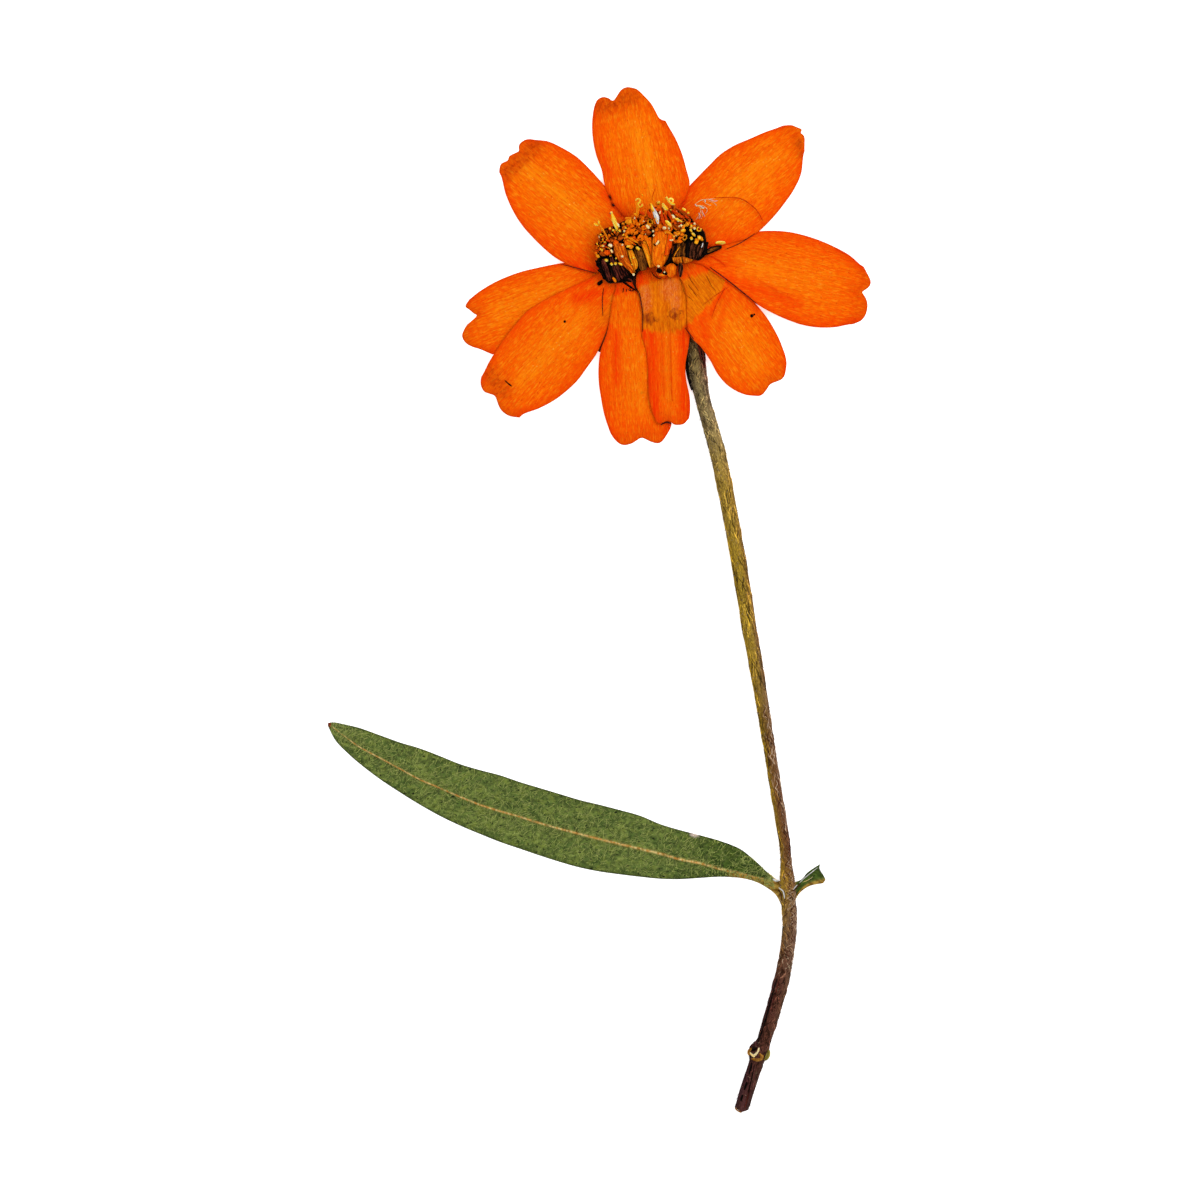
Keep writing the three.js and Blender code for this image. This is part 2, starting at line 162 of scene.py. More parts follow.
# Leaf
LEAF_BODY = 0.2
LEAF_EDGE = 0.06
LEAF_FOOT = 0.03
LEAF_SWELL = 0.16
LEAF_WAVES = 0.07
LEAF_HAIRS = 3200
LEAF_HAIR_LENGTHS = (0.4, 1.3)
LEAF_HAIR_RADII = (0.04, 0.014)
LEAF_HAIR_COLOURS = ((140, 158, 68), (212, 218, 124), (60, 76, 30))
# Most hairs point up and to the right, the others a little down: middle and spread of their turns.
LEAF_HAIR_TURNS = ((0.85, 0.4), (-0.4, 0.6))
UPWARD_SHARE = 0.7
LEAF_HAIR_BEND = 0.5
RIB_HEIGHT = 0.3
# The raised rib and its pale line widen from the leaf's tip: widths, then where from and over how far.
RIB_WIDTHS = (0.14, 0.3)
RIB_WIDENS = (-34, 50)
RIB_LINE_WIDTHS = (0.08, 0.13)
RIB_LINE_WIDENS = (-30, 45)
# Where along X the leaf turns darker and into its petiole, and over how far.
LEAF_DARKENS = (6, 11)
LEAF_DARKNESS = 0.65
PETIOLE_BELOW_RIB = (15.5, 1.6)
PETIOLE_WHOLE = (21.8, 0.5)
# Spots on the leaf: centre and radii.
BROWN_TIP = ((-33.95, -15.55), (0.5, 0.35))
PALE_FLECK = ((11.8, -29.35), (0.45, 0.3))
SIDE_VEINS = 15
VEIN_PITCH = 3.1
VEIN_OFFSET = 1.4
VEIN_LEAN = 3.2
VEIN_WIDTH = 0.12
STUB_ROWS = 40
STUB_COLUMNS = 25
STUB_WIDTH = 2.0
STUB_FOOT = 0.05
STUB_ARCH = 0.18
STUB_BODY = 0.18
STUB_FOLD = 0.22
# The stub's fold: its place and width as shares of the way across.
STUB_FOLD_PLACE = 0.2
STUB_FOLD_WIDTH = 0.12
STUB_DARKNESS = 0.75
LEAF_STEPS = 7
LEAF_COLUMNS = 49
LEAF_FIRST_X = -30.0
LEAF_STEP = 2.5

# Cup of bracts
CUP_CENTRE = (8.0, 38.0)
CUP_RADII = (7.0, 4.75)
CUP_HEIGHT = 1.15
# The patch where the cup shows through: how softly its foot, its top and its ends fade, and how
# much of the red and of the rim it takes away.
PATCH_SOFTNESS = (0.45, 0.7, 0.8)
PATCH_CLEARS_RED = 0.7
PATCH_CLEARS_RIM = 0.8
BRACT_COLUMNS = 25
BRACT_ROWS = 33
BRACT_BODY = 0.16
BRACT_EDGE = 0.04
BRACT_ARCH = 0.05
BRACT_FOOT_WIDTH = 0.76
BRACT_EDGE_SHARE = 0.4
BRACT_RIBS = 7
BRACT_RIB_HEIGHT = 0.02
BRACT_SINK = 0.12
CUP_FOOT = 0.02
CUP_BASE_PART = 0.96
CUP_RINGS = 20
CUP_SIDES = 64

# Disc
DISC_CENTRE = (6.25, 44.0)
DISC_RADII = (6.4, 4.2)
DISC_EDGE_HEIGHT = 2.2
DISC_RISE = 0.95
BED_FOOT = 0.4
BED_BODY = 0.08
BED_DEPTHS = (0.25, 0.4)
BED_RINGS = 40
LUMP_HEIGHT = 0.12
STRAP_BODY = 0.1
STRAP_COLUMNS = 15
PLEAT_DEPTH = 0.035
SCALE_BODY = 0.08
SCALE_CROWN = 0.1
FAN_BODY = 0.06
FAN_WIDTHS = (0.3, 0.55)
FAN_LIFTS = (-0.2, 0.05)
# How far the feet, the tips and the middles of a fan's scales stray, across and then along.
FOOT_STRAYS = ((-0.2, 0.2), (-0.15, 0.1))
TIP_STRAYS = ((-0.3, 0.3), (-0.35, 0.15))
MIDDLE_STRAYS = (-0.15, 0.15)
CHAFF_SINK = 0.2
LINE_LIFT = 0.04
LINE_SINK = 0.7
LINE_STEPS = 6
# Lines and scales are tapered over these parts of a half wave.
LINE_TAPER = (0.06, 0.94)
SCALE_TAPER = (0.12, 0.92)
GRAIN_SIDES = 6
CRUMB_SIDES = 5
LINE_SIDES = 6
STYLE_SIDES = 8
GRAIN_ROUGHNESS = 0.3
# How far the middle of a grain lies over what carries it, as a share of its radius.
GRAIN_LIFT = 0.4
LOOP_GAP = 1.0
LOOP_POINTS = 14
CRUMBS = 260
CRUMB_LENGTHS = (0.12, 0.4)
CRUMB_RADII = (0.05, 0.1)
CRUMB_TINTS = ("orange", "black", "gold", "brown", "yellow", "black", "red", "gold", "cream")
# A bead from below: place and width. A short bar from end to end: place and width.
BEAD_SHAPE = ((-1, 0.2), (-0.6, 0.8), (0, 1), (0.6, 0.8), (1, 0.2))
BAR_SHAPE = ((0.0, 0.3), (0.12, 0.8), (0.35, 1.0), (0.65, 1.0), (0.88, 0.8), (1.0, 0.3))
# How steeply a bar may lean over an edge.
BAR_LEAN = 0.5
# The grid of the crowded florets: its first corner, rows and columns, the distance between columns,
# that between rows as a share of it, and how clear it stays of the large florets.
FLORET_CORNER = (-0.6, 42.6)
FLORET_ROWS = 18
FLORET_COLUMNS = 34
FLORET_PITCH = 0.43
ROW_PITCH = 0.86
LARGE_CLEARANCE = 1.15
SWAY = 0.12
# The crowded florets turn outwards from this height, at the middle of the disc.
FAN_Y = 42.0
HOLLOW_SHARE = 0.15
FLORET_SIDES = 8
# Florets lean outwards across and along the disc, a little to its back, and each its own way.
LEAN_OUT = (0.35, 0.3)
LEAN_BACK = 0.15
LEAN_SWAY = 0.2
FLORET_HEIGHTS = (0.75, 1.1)
FLORET_SINK = 0.35
FLORET_BULGES = (0.7, 1.25)
TURN_SWAY = 0.5
# Where the left, the back and the right part of the disc begin or end.
LEFT_PART_END = 3.2
BACK_PART_START = (7.3, 46.8)
RIGHT_PART_START = 8.6
# Florets from the foot up: height, width and darkness. The darkness is painted shade: at the foot, between
# the florets, and inside a hollow mouth.
CLOSED_FLORET = (
    (0.0, 0.6, 1.0), (0.5, 0.85, 0.8), (0.8, 1.0, 0.3),
    (0.93, 0.88, 0.0), (1.0, 0.55, 0.0), (1.02, 0.15, 0.0),
)
HOLLOW_FLORET = (
    (0.0, 0.6, 1.0), (0.5, 0.85, 0.7), (0.85, 1.0, 0.1),
    (1.0, 0.9, 0.0), (0.95, 0.65, 0.3), (0.6, 0.45, 1.0),
)
# The florets that crowd in each part of the disc: their tints, radii and stretches.
CROWD = {
    "left": (("brown", "orange", "gold", "red", "brown"), (0.13, 0.23), (1.0, 1.8)),
    "back": (("red", "flame", "brown", "orange", "red"), (0.18, 0.28), (1.3, 2.2)),
    "right": (("gold", "orange", "brown"), (0.22, 0.32), (1.0, 1.5)),
    "middle": (("orange", "flame", "brown", "orange", "gold"), (0.24, 0.38), (1.0, 1.5)),
}

# Petals, from the lowest layer to the highest. Each has its root and tip, its half-widths every 2 mm
# from the root, the lobes across its tip as (across, along), the height of its two edges, and the marks
# on it: a kind, a strength, a width and the (across, along) points of a soft stroke.
petals = [
    {
        "name": "lower_left_behind", "claw": 1.5, "root": (1.0, 41.0), "tip": (-16.75, 34.4),
        "left": (1.0, 2.2, 2.9, 3.5, 3.9, 4.3, 4.6, 4.8, 4.8, 4.5),
        "right": (1.4, 2.1, 2.8, 3.25, 3.55, 3.8, 3.85, 3.7, 3.3, 2.7),
        "lobes": (
            (-4.6, 17.15), (-4.0, 17.8), (-3.4, 18.45), (-2.9, 19.1), (-2.3, 19.65), (-1.65, 19.9),
            (-1.05, 19.85), (-0.6, 19.5), (-0.15, 19.0), (0.2, 18.2), (0.6, 17.3), (1.0, 17.55),
            (1.55, 17.85), (2.15, 18.2), (2.55, 17.85), (2.85, 17.4),
        ),
        "root_lift": (0.6, 0.6), "tip_lift": (0.0, 0.0),
        "marks": (
            ("deep", 0.9, 0.9, ((-2.6, 1.5), (-1.8, 4.2))),
            ("light", 0.6, 0.7, ((0.4, 8.0), (0.6, 15.0))),
            ("deep", 0.45, 0.5, ((-3.4, 6.0), (-3.8, 15.0))),
        ),
    },
    {
        "name": "upper_left", "claw": 2.0, "root": (3.1, 43.75), "tip": (-11.6, 55.6),
        "left": (3.6, 5.2, 5.8, 6.2, 6.2, 6.0, 5.65, 4.95, 3.9, 2.5),
        "right": (2.5, 3.4, 4.0, 4.5, 4.85, 5.15, 5.3, 5.05, 4.55, 3.4),
        "lobes": (
            (-3.0, 17.3), (-2.4, 18.1), (-2.05, 18.5), (-1.3, 18.8), (-0.5, 18.45), (0.1, 18.6),
            (0.8, 18.3), (1.3, 18.1), (1.7, 18.4), (2.1, 18.55), (2.8, 18.4), (3.4, 17.95), (3.9, 17.3),
        ),
        "root_lift": (0.95, 0.5), "tip_lift": (0.0, 0.0),
        "marks": (
            ("light", 0.8, 1.3, ((0.2, 5.0), (0.2, 15.5))),
            ("aged", 0.9, 1.0, ((-2.0, 17.6), (3.4, 17.0))),
            ("dark", 0.5, 0.16, ((-4.1, 5.4),)),
            ("dark", 0.8, 0.14, ((3.35, 4.6), (3.5, 5.0))),
            ("dark", 0.8, 0.14, ((3.8, 5.3), (4.0, 5.7))),
            ("deep", 1.0, 1.0, ((2.6, 1.0), (4.2, 6.0))),
            ("deep", 0.5, 0.8, ((-4.8, 1.5), (-5.2, 7.0))),
        ),
    },
    {
        "name": "lower_left_front", "claw": 1.2, "root": (1.5, 40.0), "tip": (-13.5, 24.0),
        "left": (1.8, 2.6, 3.4, 4.2, 4.9, 5.2, 5.45, 5.35, 5.0, 4.3, 3.35),
        "right": (1.6, 2.3, 3.1, 3.9, 4.6, 5.1, 5.05, 4.9, 4.6, 4.2, 3.65),
        "lobes": (
            (-3.1, 20.45), (-2.65, 20.95), (-2.2, 21.2), (-1.5, 21.35), (-0.8, 21.3), (-0.1, 21.0),
            (0.75, 20.6), (1.45, 20.85), (2.1, 21.1), (2.8, 20.9), (3.3, 20.5), (3.6, 20.0),
        ),
        "root_lift": (1.3, 0.9), "tip_lift": (0.0, 0.3),
        "marks": (
            ("deep", 1.0, 1.0, ((0.0, 2.2), (1.6, 4.6))),
            ("light", 0.8, 0.9, ((-0.9, 8.0), (-0.4, 17.0))),
            ("gold", 0.6, 1.0, ((-3.0, 1.2), (-2.6, 4.2))),
            ("aged", 0.8, 1.2, ((0.5, 19.6), (3.0, 19.0))),
        ),
    },
    {
        "name": "bottom_behind", "claw": 0.9, "root": (3.25, 39.5), "tip": (5.1, 19.9),
        "left": (0.8, 1.7, 1.9, 2.3, 2.9, 3.4, 3.8, 4.1, 4.2, 4.0, 3.6),
        "right": (1.2, 1.95, 2.4, 3.0, 3.95, 4.4, 4.55, 4.45, 4.25, 3.8, 3.2),
        "lobes": (
            (-4.0, 18.1), (-3.75, 18.65), (-3.2, 19.4), (-2.65, 20.0), (-2.05, 20.2), (-1.2, 19.9),
            (-0.2, 19.35), (0.5, 19.6), (1.1, 19.9), (2.0, 20.05), (2.7, 19.8), (3.25, 19.2),
            (3.6, 18.5),
        ),
        "root_lift": (1.6, 1.7), "tip_lift": (0.0, 0.0),
        "marks": (
            ("deep", 0.9, 0.8, ((1.9, 6.2), (2.3, 12.0))),
            ("light", 0.7, 0.9, ((-0.6, 9.0), (-0.4, 16.0))),
            ("dark", 0.5, 0.14, ((-0.75, 13.7),)),
            ("deep", 0.4, 0.4, ((2.6, 9.0), (3.0, 16.0))),
        ),
    },
    {
        "name": "bottom_front", "claw": 2.6, "root": (8.5, 39.4), "tip": (9.0, 21.9),
        "left": (2.5, 2.8, 2.8, 2.6, 2.3, 1.9, 1.95, 2.3, 2.3, 1.9),
        "right": (4.0, 3.45, 3.2, 3.5, 3.05, 2.85, 2.85, 2.8, 2.4, 1.6),
        "lobes": (
            (-2.1, 16.75), (-1.6, 17.35), (-1.05, 17.55), (-0.3, 17.5), (0.1, 17.2), (0.5, 17.05),
            (0.9, 17.2), (1.5, 17.35), (1.9, 17.15),
        ),
        "root_lift": (1.8, 1.95), "tip_lift": (0.3, 0.3),
        "marks": (
            ("deep", 1.0, 0.8, ((2.1, 6.0), (2.0, 15.5))),
            ("deep", 1.0, 0.75, ((-1.6, 6.0), (-1.5, 15.5))),
            ("light", 0.9, 0.3, ((0.45, 6.5), (0.4, 14.0))),
            ("light", 0.9, 0.12, ((-0.4, 6.0), (-0.35, 14.5))),
            ("light", 0.8, 0.8, ((0.2, 14.2), (0.3, 16.0))),
            ("crease", 0.6, 0.07, ((0.95, 6.0), (0.9, 14.0))),
            ("crease", 0.8, 0.06, ((-0.1, 5.5), (-0.1, 14.5))),
        ),
    },
    {
        "name": "lower_right", "claw": 2.0, "root": (11.25, 40.6), "tip": (22.25, 26.25),
        "left": (2.2, 3.0, 3.7, 4.15, 4.35, 4.4, 4.2, 3.75, 2.95, 1.1),
        "right": (1.3, 2.1, 3.6, 4.6, 4.4, 4.5, 4.8, 4.6, 3.65, 1.75),
        "lobes": (
            (-2.2, 16.8), (-1.75, 17.15), (-1.2, 17.3), (-0.5, 17.15), (0.3, 16.95), (1.0, 17.15),
            (1.75, 17.35), (2.3, 17.25), (2.8, 16.9),
        ),
        "root_lift": (1.85, 2.15), "tip_lift": (0.0, 0.0),
        "marks": (
            ("crease", 0.35, 0.14, ((-3.0, 4.5), (-2.0, 4.6), (-1.0, 5.1), (0.2, 5.7), (1.0, 6.0))),
            ("light", 0.7, 1.2, ((-0.6, 8.5), (0.4, 14.0))),
            ("deep", 0.6, 0.6, ((-2.2, 5.2), (-1.0, 5.8), (0.2, 6.6), (1.2, 7.6))),
            ("deep", 0.9, 0.5, ((-2.7, 3.9), (-1.2, 4.4), (0.1, 4.9), (1.2, 5.6))),
            ("deep", 0.75, 0.9, ((1.4, 5.0), (2.6, 6.0), (3.4, 7.4))),
            ("deep", 0.8, 0.2, ((3.6, 14.7),)),
            ("deep", 0.8, 0.2, ((3.8, 11.5),)),
            ("deep", 0.8, 0.25, ((4.0, 7.2),)),
        ),
    },
    {
        "name": "right", "claw": 2.6, "root": (12.75, 42.5), "tip": (33.5, 38.4),
        "left": (1.9, 3.1, 4.0, 4.8, 5.3, 5.55, 5.5, 5.25, 4.8, 4.15, 3.1),
        "right": (0.6, 1.4, 2.3, 3.25, 4.2, 4.85, 5.3, 5.55, 5.45, 5.0, 4.25),
        "lobes": (
            (-3.1, 20.0), (-2.6, 20.4), (-2.05, 20.85), (-1.6, 21.15), (-1.15, 21.25), (-0.7, 21.1),
            (-0.3, 20.75), (0.05, 20.45), (0.4, 20.75), (0.9, 21.15), (1.55, 21.4), (2.25, 21.45),
            (2.9, 21.35), (3.5, 21.05), (3.95, 20.5), (4.25, 20.0),
        ),
        "root_lift": (0.75, 2.15), "tip_lift": (0.0, 0.0),
        "marks": (
            ("crease", 0.8, 0.14, ((0.2, 3.0), (-0.3, 2.1), (-0.6, 1.1))),
            ("crease", 0.35, 0.16, ((1.2, 7.6), (2.0, 10.0), (2.6, 11.9))),
            ("crease", 0.5, 0.2, ((-4.6, 16.2), (-3.9, 18.4), (-3.3, 19.6))),
            ("deep", 0.8, 1.0, ((1.5, 2.5), (2.2, 7.0), (3.2, 12.5))),
            ("light", 0.7, 0.9, ((-1.2, 4.5), (0.2, 11.5))),
        ),
    },
    {
        "name": "upper_right", "claw": 1.5, "root": (10.6, 45.6), "tip": (25.4, 58.75),
        "left": (1.6, 3.2, 4.1, 4.35, 4.5, 4.6, 4.3, 3.65, 3.0, 2.2, 1.6),
        "right": (1.8, 3.7, 4.8, 5.7, 5.8, 5.65, 5.3, 4.8, 3.9, 2.2, 1.4),
        "lobes": (
            (-2.05, 18.3), (-1.5, 19.05), (-0.9, 19.4), (-0.2, 19.7), (0.1, 19.35), (0.5, 19.4),
            (0.9, 19.25), (1.4, 18.8), (2.0, 18.2),
        ),
        "root_lift": (0.5, 1.15), "tip_lift": (0.0, 0.0),
        "marks": (
            ("crease", 0.4, 0.16, (
                (-0.4, 6.4), (0.2, 7.0), (1.0, 7.8), (2.0, 8.3), (3.0, 8.5), (4.5, 8.4), (5.4, 8.2),
            )),
            ("aged", 0.8, 0.8, ((0.4, 18.6), (2.0, 17.8))),
            ("deep", 0.8, 0.2, ((2.0, 13.7),)),
            ("deep", 0.8, 0.2, ((2.1, 4.2),)),
            ("light", 0.7, 1.2, ((-0.4, 8.5), (0.2, 15.0))),
        ),
    },
    {
        "name": "top", "claw": 1.5, "root": (7.5, 45.0), "tip": (3.6, 64.1),
        "left": (1.2, 2.6, 3.9, 4.9, 5.4, 5.4, 5.7, 5.7, 5.4, 4.8, 4.4),
        "right": (1.2, 2.3, 3.8, 5.0, 5.0, 4.85, 4.45, 3.8, 3.3, 3.0, 3.0),
        "lobes": (
            (-5.1, 17.3), (-4.8, 18.0), (-4.2, 18.7), (-3.5, 18.95), (-2.8, 18.7), (-2.3, 18.25),
            (-1.8, 18.6), (-1.1, 19.3), (-0.4, 19.55), (0.3, 19.4), (1.0, 19.0), (1.7, 18.0),
            (2.3, 17.0), (2.65, 16.0), (3.0, 14.9), (3.6, 14.45),
        ),
        "root_lift": (0.95, 0.95), "tip_lift": (0.0, 0.0),
        "marks": (
            ("light", 0.9, 1.4, ((0.4, 4.5), (0.0, 13.5))),
            ("dark", 0.8, 0.14, ((-4.75, 5.0), (-4.9, 5.5))),
            ("dark", 0.8, 0.16, ((-4.95, 6.2), (-5.05, 6.7))),
            ("deep", 0.9, 0.18, ((-1.4, 8.6),)),
            ("deep", 0.7, 0.5, ((-4.6, 9.0), (-5.0, 14.0))),
            ("aged", 0.9, 1.2, ((0.2, 18.4), (-3.8, 17.8))),
        ),
    },
]

# The stem from the head to the cut end: x, y and width.
stem_stations = (
    (11.25, 33.2, 1.7), (11.75, 31.9, 2.2), (12.1, 29.4, 2.3), (12.45, 26.9, 2.1), (12.95, 24.6, 1.95),
    (13.55, 22.5, 1.95), (14.25, 20.0, 2.0), (14.9, 17.5, 2.0), (15.4, 15.0, 2.0), (16.4, 10.0, 1.95),
    (17.25, 5.0, 1.95), (18.1, 0.0, 1.95), (18.9, -5.0, 1.8), (19.8, -10.0, 1.7), (20.6, -15.0, 1.55),
    (21.4, -20.0, 1.5), (22.2, -25.0, 1.45), (23.0, -30.0, 1.45), (23.25, -32.75, 1.45), (23.4, -35.0, 1.9),
    (23.5, -37.25, 1.95), (23.7, -40.0, 1.85), (23.55, -42.5, 1.75), (23.2, -45.0, 1.85), (22.65, -47.5, 2.0),
    (22.0, -50.0, 1.95), (21.25, -52.5, 1.95), (20.5, -55.0, 1.8), (19.85, -56.45, 2.65),
    (19.5, -57.75, 1.85),
    (18.8, -60.0, 1.85), (18.0, -62.5, 1.85), (17.65, -64.0, 1.85),
)

# Colours down the stem: y, then the left side, the middle and the right side. The near-black left side near
# the head is painted shadow.
stem_colours = (
    (33.2, (22, 16, 10), (100, 76, 44), (92, 34, 36)),
    (30.0, (34, 26, 18), (134, 112, 66), (118, 58, 52)),
    (27.0, (84, 74, 52), (146, 126, 80), (150, 120, 92)),
    (22.0, (112, 98, 60), (152, 132, 84), (164, 140, 92)),
    (15.0, (140, 112, 42), (172, 140, 56), (158, 122, 50)),
    (5.0, (150, 120, 32), (172, 140, 44), (146, 106, 44)),
    (-5.0, (162, 130, 34), (172, 140, 48), (132, 94, 52)),
    (-13.0, (154, 122, 28), (138, 106, 48), (140, 106, 74)),
    (-19.0, (150, 120, 28), (124, 86, 42), (136, 98, 70)),
    (-25.0, (146, 114, 28), (120, 78, 42), (130, 90, 66)),
    (-32.0, (154, 120, 34), (128, 86, 44), (116, 72, 52)),
    (-34.5, (160, 126, 36), (150, 112, 46), (134, 94, 54)),
    (-36.5, (164, 130, 44), (158, 122, 56), (144, 106, 72)),
    (-40.0, (126, 96, 44), (130, 96, 62), (132, 102, 84)),
    (-44.0, (108, 72, 42), (116, 80, 60), (124, 92, 74)),
    (-48.0, (64, 32, 30), (96, 56, 44), (104, 72, 52)),
    (-55.0, (58, 28, 30), (94, 54, 42), (80, 48, 38)),
    (-60.0, (58, 30, 34), (80, 44, 42), (66, 40, 34)),
    (-64.0, (52, 28, 32), (88, 50, 48), (54, 30, 28)),
)

# The leaf blade's upper edge, midrib and lower edge, every 2.5 mm along X from the first station on.
leaf_upper = (
    -16.0, -16.9, -17.8, -18.55, -19.5, -20.5, -21.25, -21.9, -22.75, -23.5,
    -24.25, -25.0, -25.6, -26.25, -26.95, -28.0, -28.75, -29.4, -30.1, -31.1,
)
leaf_midrib = (
    -18.4, -19.75, -21.1, -22.45, -23.5, -24.6, -25.6, -26.4, -27.1, -27.9,
    -28.6, -29.25, -29.9, -30.5, -31.1, -31.7, -32.4, -32.9, -33.6, -34.2,
)
leaf_lower = (
    -20.5, -22.4, -24.05, -25.6, -27.0, -28.2, -29.25, -30.25, -31.1, -31.95,
    -32.75, -33.45, -33.95, -34.3, -34.6, -34.85, -34.9, -34.75, -34.6, -34.75,
)
# Leaf tip and petiole: x, upper edge, midrib and lower edge.
leaf_tip = ((-34.0, -15.35, -15.5, -15.75), (-33.1, -15.3, -16.1, -17.5), (-31.7, -15.6, -17.2, -19.0))
petiole = (
    (19.4, -32.6, -34.7, -35.2), (20.9, -34.0, -35.0, -36.0),
    (22.0, -34.9, -35.4, -36.9), (22.8, -35.2, -36.2, -38.4),
)

# The torn leaf stub: its lower and upper edges from the node out, and how far the torn end juts.
stub_lower = ((24.2, -38.0), (24.9, -36.7), (26.2, -35.75), (27.9, -35.4))
stub_upper = ((24.2, -35.3), (25.2, -34.9), (26.0, -34.0), (27.5, -33.0))
stub_tear = (0.0, 0.35, 0.28, 0.12, -0.1, -0.12, 0.0)

# Bracts of the green cup: root, tip and half-width, the outer row last.
bracts = (
    ((8.6, 36.2), (1.7, 38.2), 1.5), ((8.6, 36.2), (4.2, 40.6), 1.5), ((8.8, 36.2), (7.4, 41.6), 1.5),
    ((9.0, 36.2), (10.8, 41.3), 1.5), ((9.2, 36.0), (14.2, 38.6), 1.5), ((9.0, 34.6), (3.0, 35.2), 1.2),
    ((9.4, 34.4), (6.1, 35.4), 1.1), ((9.8, 34.4), (9.4, 36.2), 1.1), ((10.2, 34.4), (12.4, 35.8), 1.1),
)
spread_bract = ((1.9, 37.2), (-0.1, 31.0), 0.9)

# The patch where petals let the cup below show through: its lower edge and its upper edge.
cup_shows_above = (
    (0.6, 35.2), (1.25, 34.4), (2.5, 34.0), (5.0, 33.75), (7.1, 33.25), (9.4, 33.25), (11.25, 34.4),
    (13.1, 36.25), (14.4, 37.5), (15.25, 38.75), (16.2, 40.4),
)
cup_shows_below = (
    (0.6, 38.4), (4.0, 38.6), (5.0, 39.4), (6.5, 40.1), (8.0, 40.4), (9.4, 40.5), (10.3, 40.3), (12.4, 41.0),
    (14.0, 41.6), (16.2, 41.0),
)
shows_through = {"lower_left_front": 0.15, "bottom_behind": 0.16, "bottom_front": 0.85, "lower_right": 0.95}
# Brown bract tips and pinkish bracts in that patch: colour, centre, radii and strength.
cup_spots = (
    ("brown", (6.05, 35.1), (1.25, 0.85), 0.95),
    ("brown", (9.4, 35.65), (1.1, 0.85), 0.8),
    ("pink", (5.7, 37.6), (0.75, 1.9), 0.9),
    ("pink", (8.75, 38.9), (1.2, 1.5), 0.8),
    ("pink", (9.4, 37.2), (0.65, 1.2), 0.7),
)
# Petals that are redder all over, and how red a petal is at its base.
petal_redness = {"bottom_behind": 0.22, "bottom_front": 0.4, "right": 0.12, "lower_left_front": 0.05}
petal_base_redness = {"bottom_front": 0.2}
BASE_REDNESS = 0.55

# Colours of the dry disc, each as the dark and the light of its streaks.
tints = {
    "flame": ((230, 66, 2), (252, 104, 8)),
    "red": ((206, 50, 4), (240, 88, 8)),
    "orange": ((238, 92, 2), (255, 134, 12)),
    "gold": ((240, 112, 4), (255, 176, 30)),
    "amber": ((186, 74, 4), (244, 138, 22)),
    "yellow": ((255, 184, 14), (255, 244, 112)),
    "cream": ((250, 214, 130), (255, 250, 214)),
    "brown": ((116, 38, 4), (206, 88, 14)),
    "olive": ((66, 32, 8), (156, 88, 24)),
    "maroon": ((22, 8, 8), (126, 54, 40)),
    "husk": ((22, 10, 6), (124, 66, 40)),
    "black": ((7, 4, 4), (30, 18, 12)),
    "silver": ((214, 212, 208), (250, 248, 244)),
    "bark": ((128, 78, 18), (216, 158, 74)),
    "moss": ((98, 84, 26), (172, 158, 78)),
    "rust": ((176, 58, 4), (250, 122, 14)),
}

# The edge of the dark bed, and the upper and lower lines between which the florets crowd.
bed_edge = (
    (-0.3, 43.1), (-0.2, 45.0), (0.5, 46.3), (1.7, 46.7), (2.7, 47.2), (3.6, 47.6), (4.7, 48.2),
    (6.2, 48.3), (7.5, 48.6), (9.2, 48.7), (11.1, 48.0), (12.0, 46.9), (13.0, 46.1), (13.3, 44.8),
    (13.4, 43.5), (12.4, 42.4), (11.2, 42.7), (9.8, 41.8), (8.6, 41.4), (7.3, 41.5), (6.1, 41.7),
    (4.7, 41.6), (4.1, 40.1), (3.0, 39.7), (2.0, 39.6), (1.0, 39.6), (0.2, 40.6), (-0.2, 41.7),
)
bank_top = (
    (-0.7, 43.3), (-0.2, 45.7), (1.1, 46.5), (2.7, 47.2), (3.3, 47.5), (4.4, 47.9), (5.2, 48.6),
    (7.4, 48.9), (9.2, 48.9), (10.7, 48.4), (11.6, 47.4), (12.4, 46.9),
)
bank_foot = (
    (-0.7, 42.9), (1.5, 42.7), (1.7, 44.5), (3.2, 44.3), (3.6, 43.9), (5.1, 44.2), (5.5, 44.9),
    (6.7, 45.7), (8.8, 45.6), (9.0, 44.7), (10.2, 44.6), (10.6, 46.5), (12.4, 46.6),
)
# Dark gaps between the florets: centre and radii.
bare_spots = (
    ((4.2, 44.25), (0.3, 0.5)), ((2.75, 44.55), (0.24, 0.16)), ((2.95, 45.85), (0.2, 0.28)),
    ((5.4, 45.65), (0.2, 0.2)), ((6.75, 46.45), (0.22, 0.24)), ((6.75, 45.8), (0.16, 0.16)),
    ((8.2, 45.65), (0.14, 0.14)), ((7.95, 47.7), (0.22, 0.22)), ((0.9, 44.6), (0.2, 0.3)),
    ((1.4, 43.2), (0.14, 0.2)), ((9.25, 46.0), (0.16, 0.24)), ((10.5, 47.2), (0.2, 0.14)),
    ((4.65, 46.75), (0.16, 0.18)), ((9.7, 48.9), (0.2, 0.16)), ((1.7, 45.2), (0.14, 0.3)),
)
